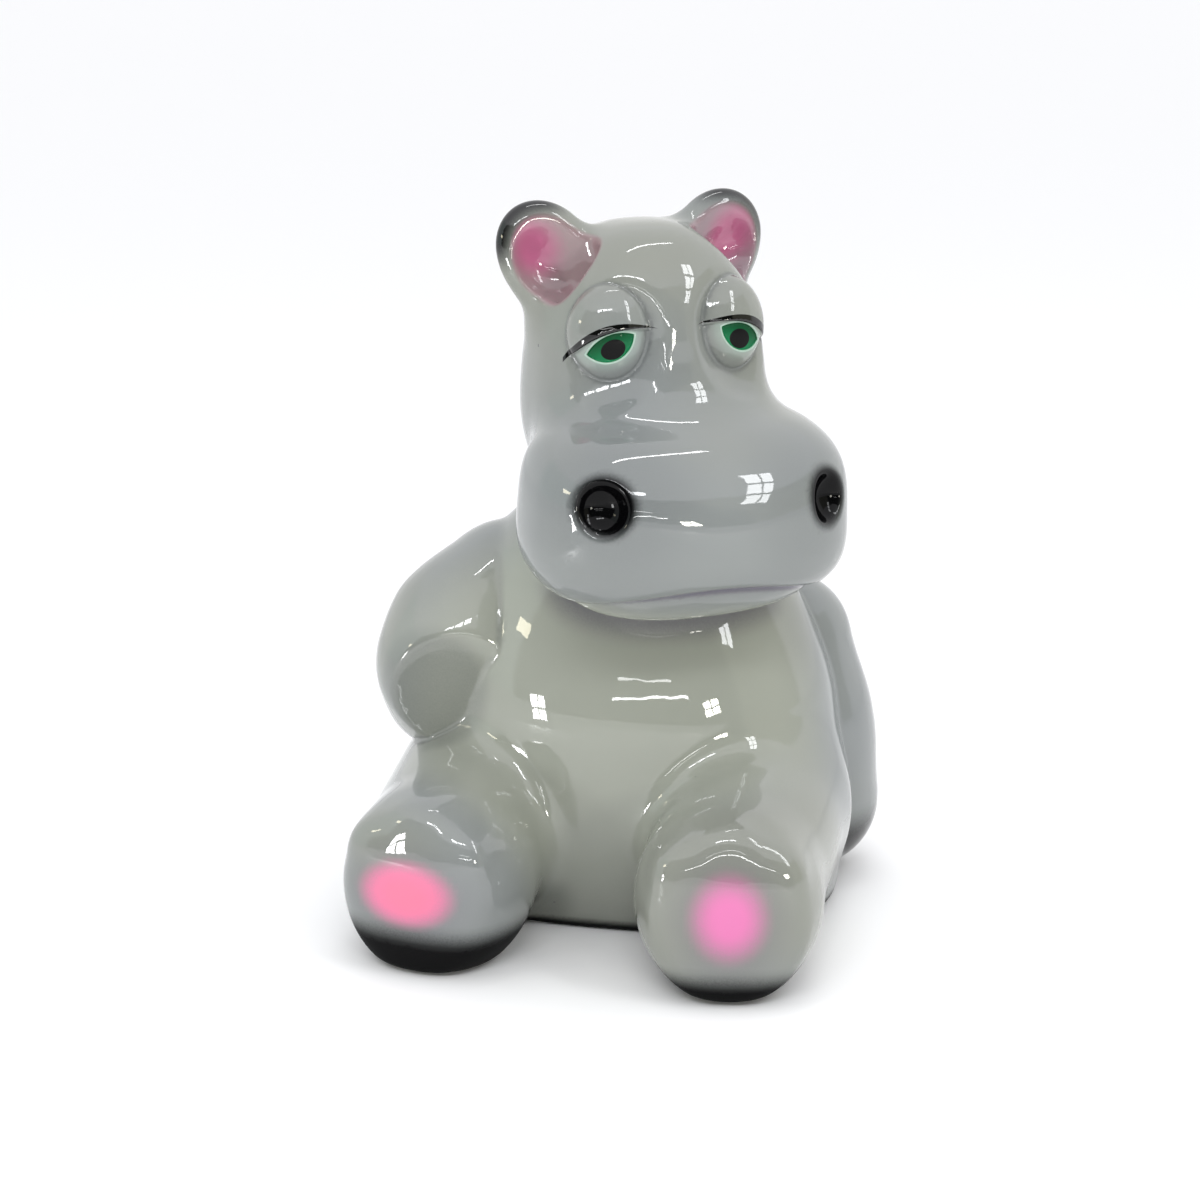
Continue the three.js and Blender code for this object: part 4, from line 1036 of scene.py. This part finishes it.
class HIPPO_OT_cast(bpy.types.Operator):
    """Make the figurine's fine surface, with its relief, sprays and glaze"""

    bl_idname = "hippo.cast"
    bl_label = "Cast and Glaze Hippo"

    def execute(self, context):
        form = context.scene.hippo_form
        points, faces = fine_form(form)
        mesh = mesh_from("glazed_hippo", points, faces)
        for name, values in spray_masks(points).items():
            kind = "FLOAT" if values.ndim == 1 else "FLOAT_VECTOR"
            layer = mesh.attributes.new(name, kind, "POINT")
            layer.data.foreach_set("value" if values.ndim == 1 else "vector", values.ravel())
        hippo = bpy.data.objects.new("glazed_hippo", mesh)
        context.scene.collection.objects.link(hippo)
        tree, inputs = ripple_tree()
        waves = hippo.modifiers.new("glaze_ripple", "NODES")
        waves.node_group = tree
        waves[inputs["Wave Height"]] = form.wave_height
        waves[inputs["Waves Per Metre"]] = 1.0 / form.wave_length
        waves[inputs["Glaze"]] = airbrushed_glaze(context.scene.hippo_glaze)
        finished = bpy.data.meshes.new_from_object(
            hippo.evaluated_get(context.evaluated_depsgraph_get()), preserve_all_data_layers=True,
            depsgraph=context.evaluated_depsgraph_get())
        hippo.modifiers.clear()
        hippo.data = finished
        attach(hippo, "root")
        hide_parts(SOLID)
        return {"FINISHED"}


def add_light(light, target, brightness):
    """A window of panes, or a strip, that faces its target and doesn't show itself to the camera."""
    centre = around(target, light["azimuth"], light["elevation"], light["distance"])
    facing = (target - centre).to_track_quat("-Z", "Y").to_matrix()
    facing = facing @ Matrix.Rotation(math.radians(light["lean"]), 3, "Z")
    columns, rows = light["panes"]
    bars = WINDOW_BARS if columns * rows > 1 else 0.0
    width, height = light["size"][0] / columns, light["size"][1] / rows
    for column in range(columns):
        for row in range(rows):
            pane = bpy.data.lights.new(light["name"], "AREA")
            pane.shape = "RECTANGLE"
            pane.size, pane.size_y = width * (1.0 - bars), height * (1.0 - bars)
            pane.energy = light["radiance"] * math.pi * pane.size * pane.size_y * brightness
            pane.color = linear(light["colour"])
            lamp = bpy.data.objects.new(light["name"], pane)
            offset = Vector(((column + 0.5 - columns / 2) * width, (row + 0.5 - rows / 2) * height, 0.0))
            lamp.location = centre + facing @ offset
            lamp.rotation_euler = facing.to_euler()
            lamp.visible_camera = False
            bpy.context.scene.collection.objects.link(lamp)


def around(target, azimuth, elevation, distance):
    """The place at a distance from a target; azimuth 0 is in front of the figurine, 90 at its left."""
    azimuth, elevation = math.radians(azimuth), math.radians(elevation)
    flat = math.cos(elevation)
    way = Vector((math.sin(azimuth) * flat, -math.cos(azimuth) * flat, math.sin(elevation)))
    return Vector(target) + way * distance


class HIPPO_OT_stage(bpy.types.Operator):
    """Set the figurine on pale paper in soft studio light, seen as in the photograph"""

    bl_idname = "hippo.stage"
    bl_label = "Set Stage"

    def execute(self, context):
        stage = context.scene.hippo_stage
        far = PAPER_REACH
        corners = [(-far, -far, 0.0), (far, -far, 0.0), (far, far, 0.0), (-far, far, 0.0)]
        paper = bpy.data.meshes.new("paper_floor")
        paper.from_pydata(corners, [], [(0, 1, 2, 3)])
        paper.materials.append(matt_paper(stage.paper))
        floor = bpy.data.objects.new("paper_floor", paper)
        context.scene.collection.objects.link(floor)

        target = Vector(VIEW["target"])
        for light in LIGHTS:
            add_light(light, target, stage.brightness)
        world = bpy.data.worlds.new("studio_room")
        world.use_nodes = True
        tree = world.node_tree
        tree.nodes.clear()
        way = add_node(tree, "ShaderNodeTexCoord").outputs["Generated"]
        side, depth, up = add_node(tree, "ShaderNodeSeparateXYZ", {0: way}).outputs
        room = opaque(stage.wall_right)
        for along, part, colour in (
            (side, "sides", stage.wall_left),
            (depth, "front", stage.wall_front),
            (depth, "back", stage.wall_back),
            (up, "ceiling", stage.ceiling),
        ):
            begins, full = ROOM[part]
            amount = add_node(tree, "ShaderNodeMapRange",
                              {"Value": along, "From Min": begins, "From Max": full},
                              interpolation_type="SMOOTHSTEP")
            wall = add_node(tree, "ShaderNodeMix", {0: amount, 6: room, 7: opaque(colour)},
                            data_type="RGBA")
            room = wall.outputs[2]
        light = add_node(tree, "ShaderNodeBackground", {"Color": room, "Strength": stage.room_light})
        add_node(tree, "ShaderNodeOutputWorld", {"Surface": light})
        context.scene.world = world

        lens = bpy.data.cameras.new("photo_view")
        lens.lens = VIEW["lens"]
        lens.sensor_width = VIEW["sensor"]
        camera = bpy.data.objects.new("photo_view", lens)
        camera.location = around(target, VIEW["azimuth"], VIEW["elevation"], VIEW["distance"])
        camera.rotation_euler = (target - camera.location).to_track_quat("-Z", "Y").to_euler()
        context.scene.collection.objects.link(camera)
        context.scene.camera = camera
        context.scene.view_settings.view_transform = "Standard"
        return {"FINISHED"}


class HIPPO_PT_panel(bpy.types.Panel):
    """Sizes, colours and steps of the figurine"""

    bl_idname = "HIPPO_PT_panel"
    bl_label = "Glazed Hippo"
    bl_space_type = "VIEW_3D"
    bl_region_type = "UI"
    bl_category = "Hippo"

    def draw(self, context):
        for group, operator in (("hippo_form", None), ("hippo_glaze", HIPPO_OT_cast),
                                ("hippo_stage", HIPPO_OT_stage)):
            box = self.layout.box()
            values = getattr(context.scene, group)
            for name in values.bl_rna.properties.keys():
                if name not in ("rna_type", "name"):
                    box.prop(values, name)
            if operator:
                box.operator(operator.bl_idname)


CLASSES = (HippoForm, HippoGlaze, HippoStage, HIPPO_OT_cast, HIPPO_OT_stage, HIPPO_PT_panel)


def register():
    """Registers the classes and puts the sizes and colours on the scene."""
    for item in CLASSES:
        bpy.utils.register_class(item)
    bpy.types.Scene.hippo_form = PointerProperty(type=HippoForm)
    bpy.types.Scene.hippo_glaze = PointerProperty(type=HippoGlaze)
    bpy.types.Scene.hippo_stage = PointerProperty(type=HippoStage)


def unregister():
    """Takes everything off again."""
    for name in ("hippo_form", "hippo_glaze", "hippo_stage"):
        delattr(bpy.types.Scene, name)
    for item in reversed(CLASSES):
        bpy.utils.unregister_class(item)


def main():
    """Makes the figurine and its stage."""
    register()
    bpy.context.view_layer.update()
    bpy.ops.hippo.cast()
    bpy.ops.hippo.stage()


if __name__ == "__main__":
    main()
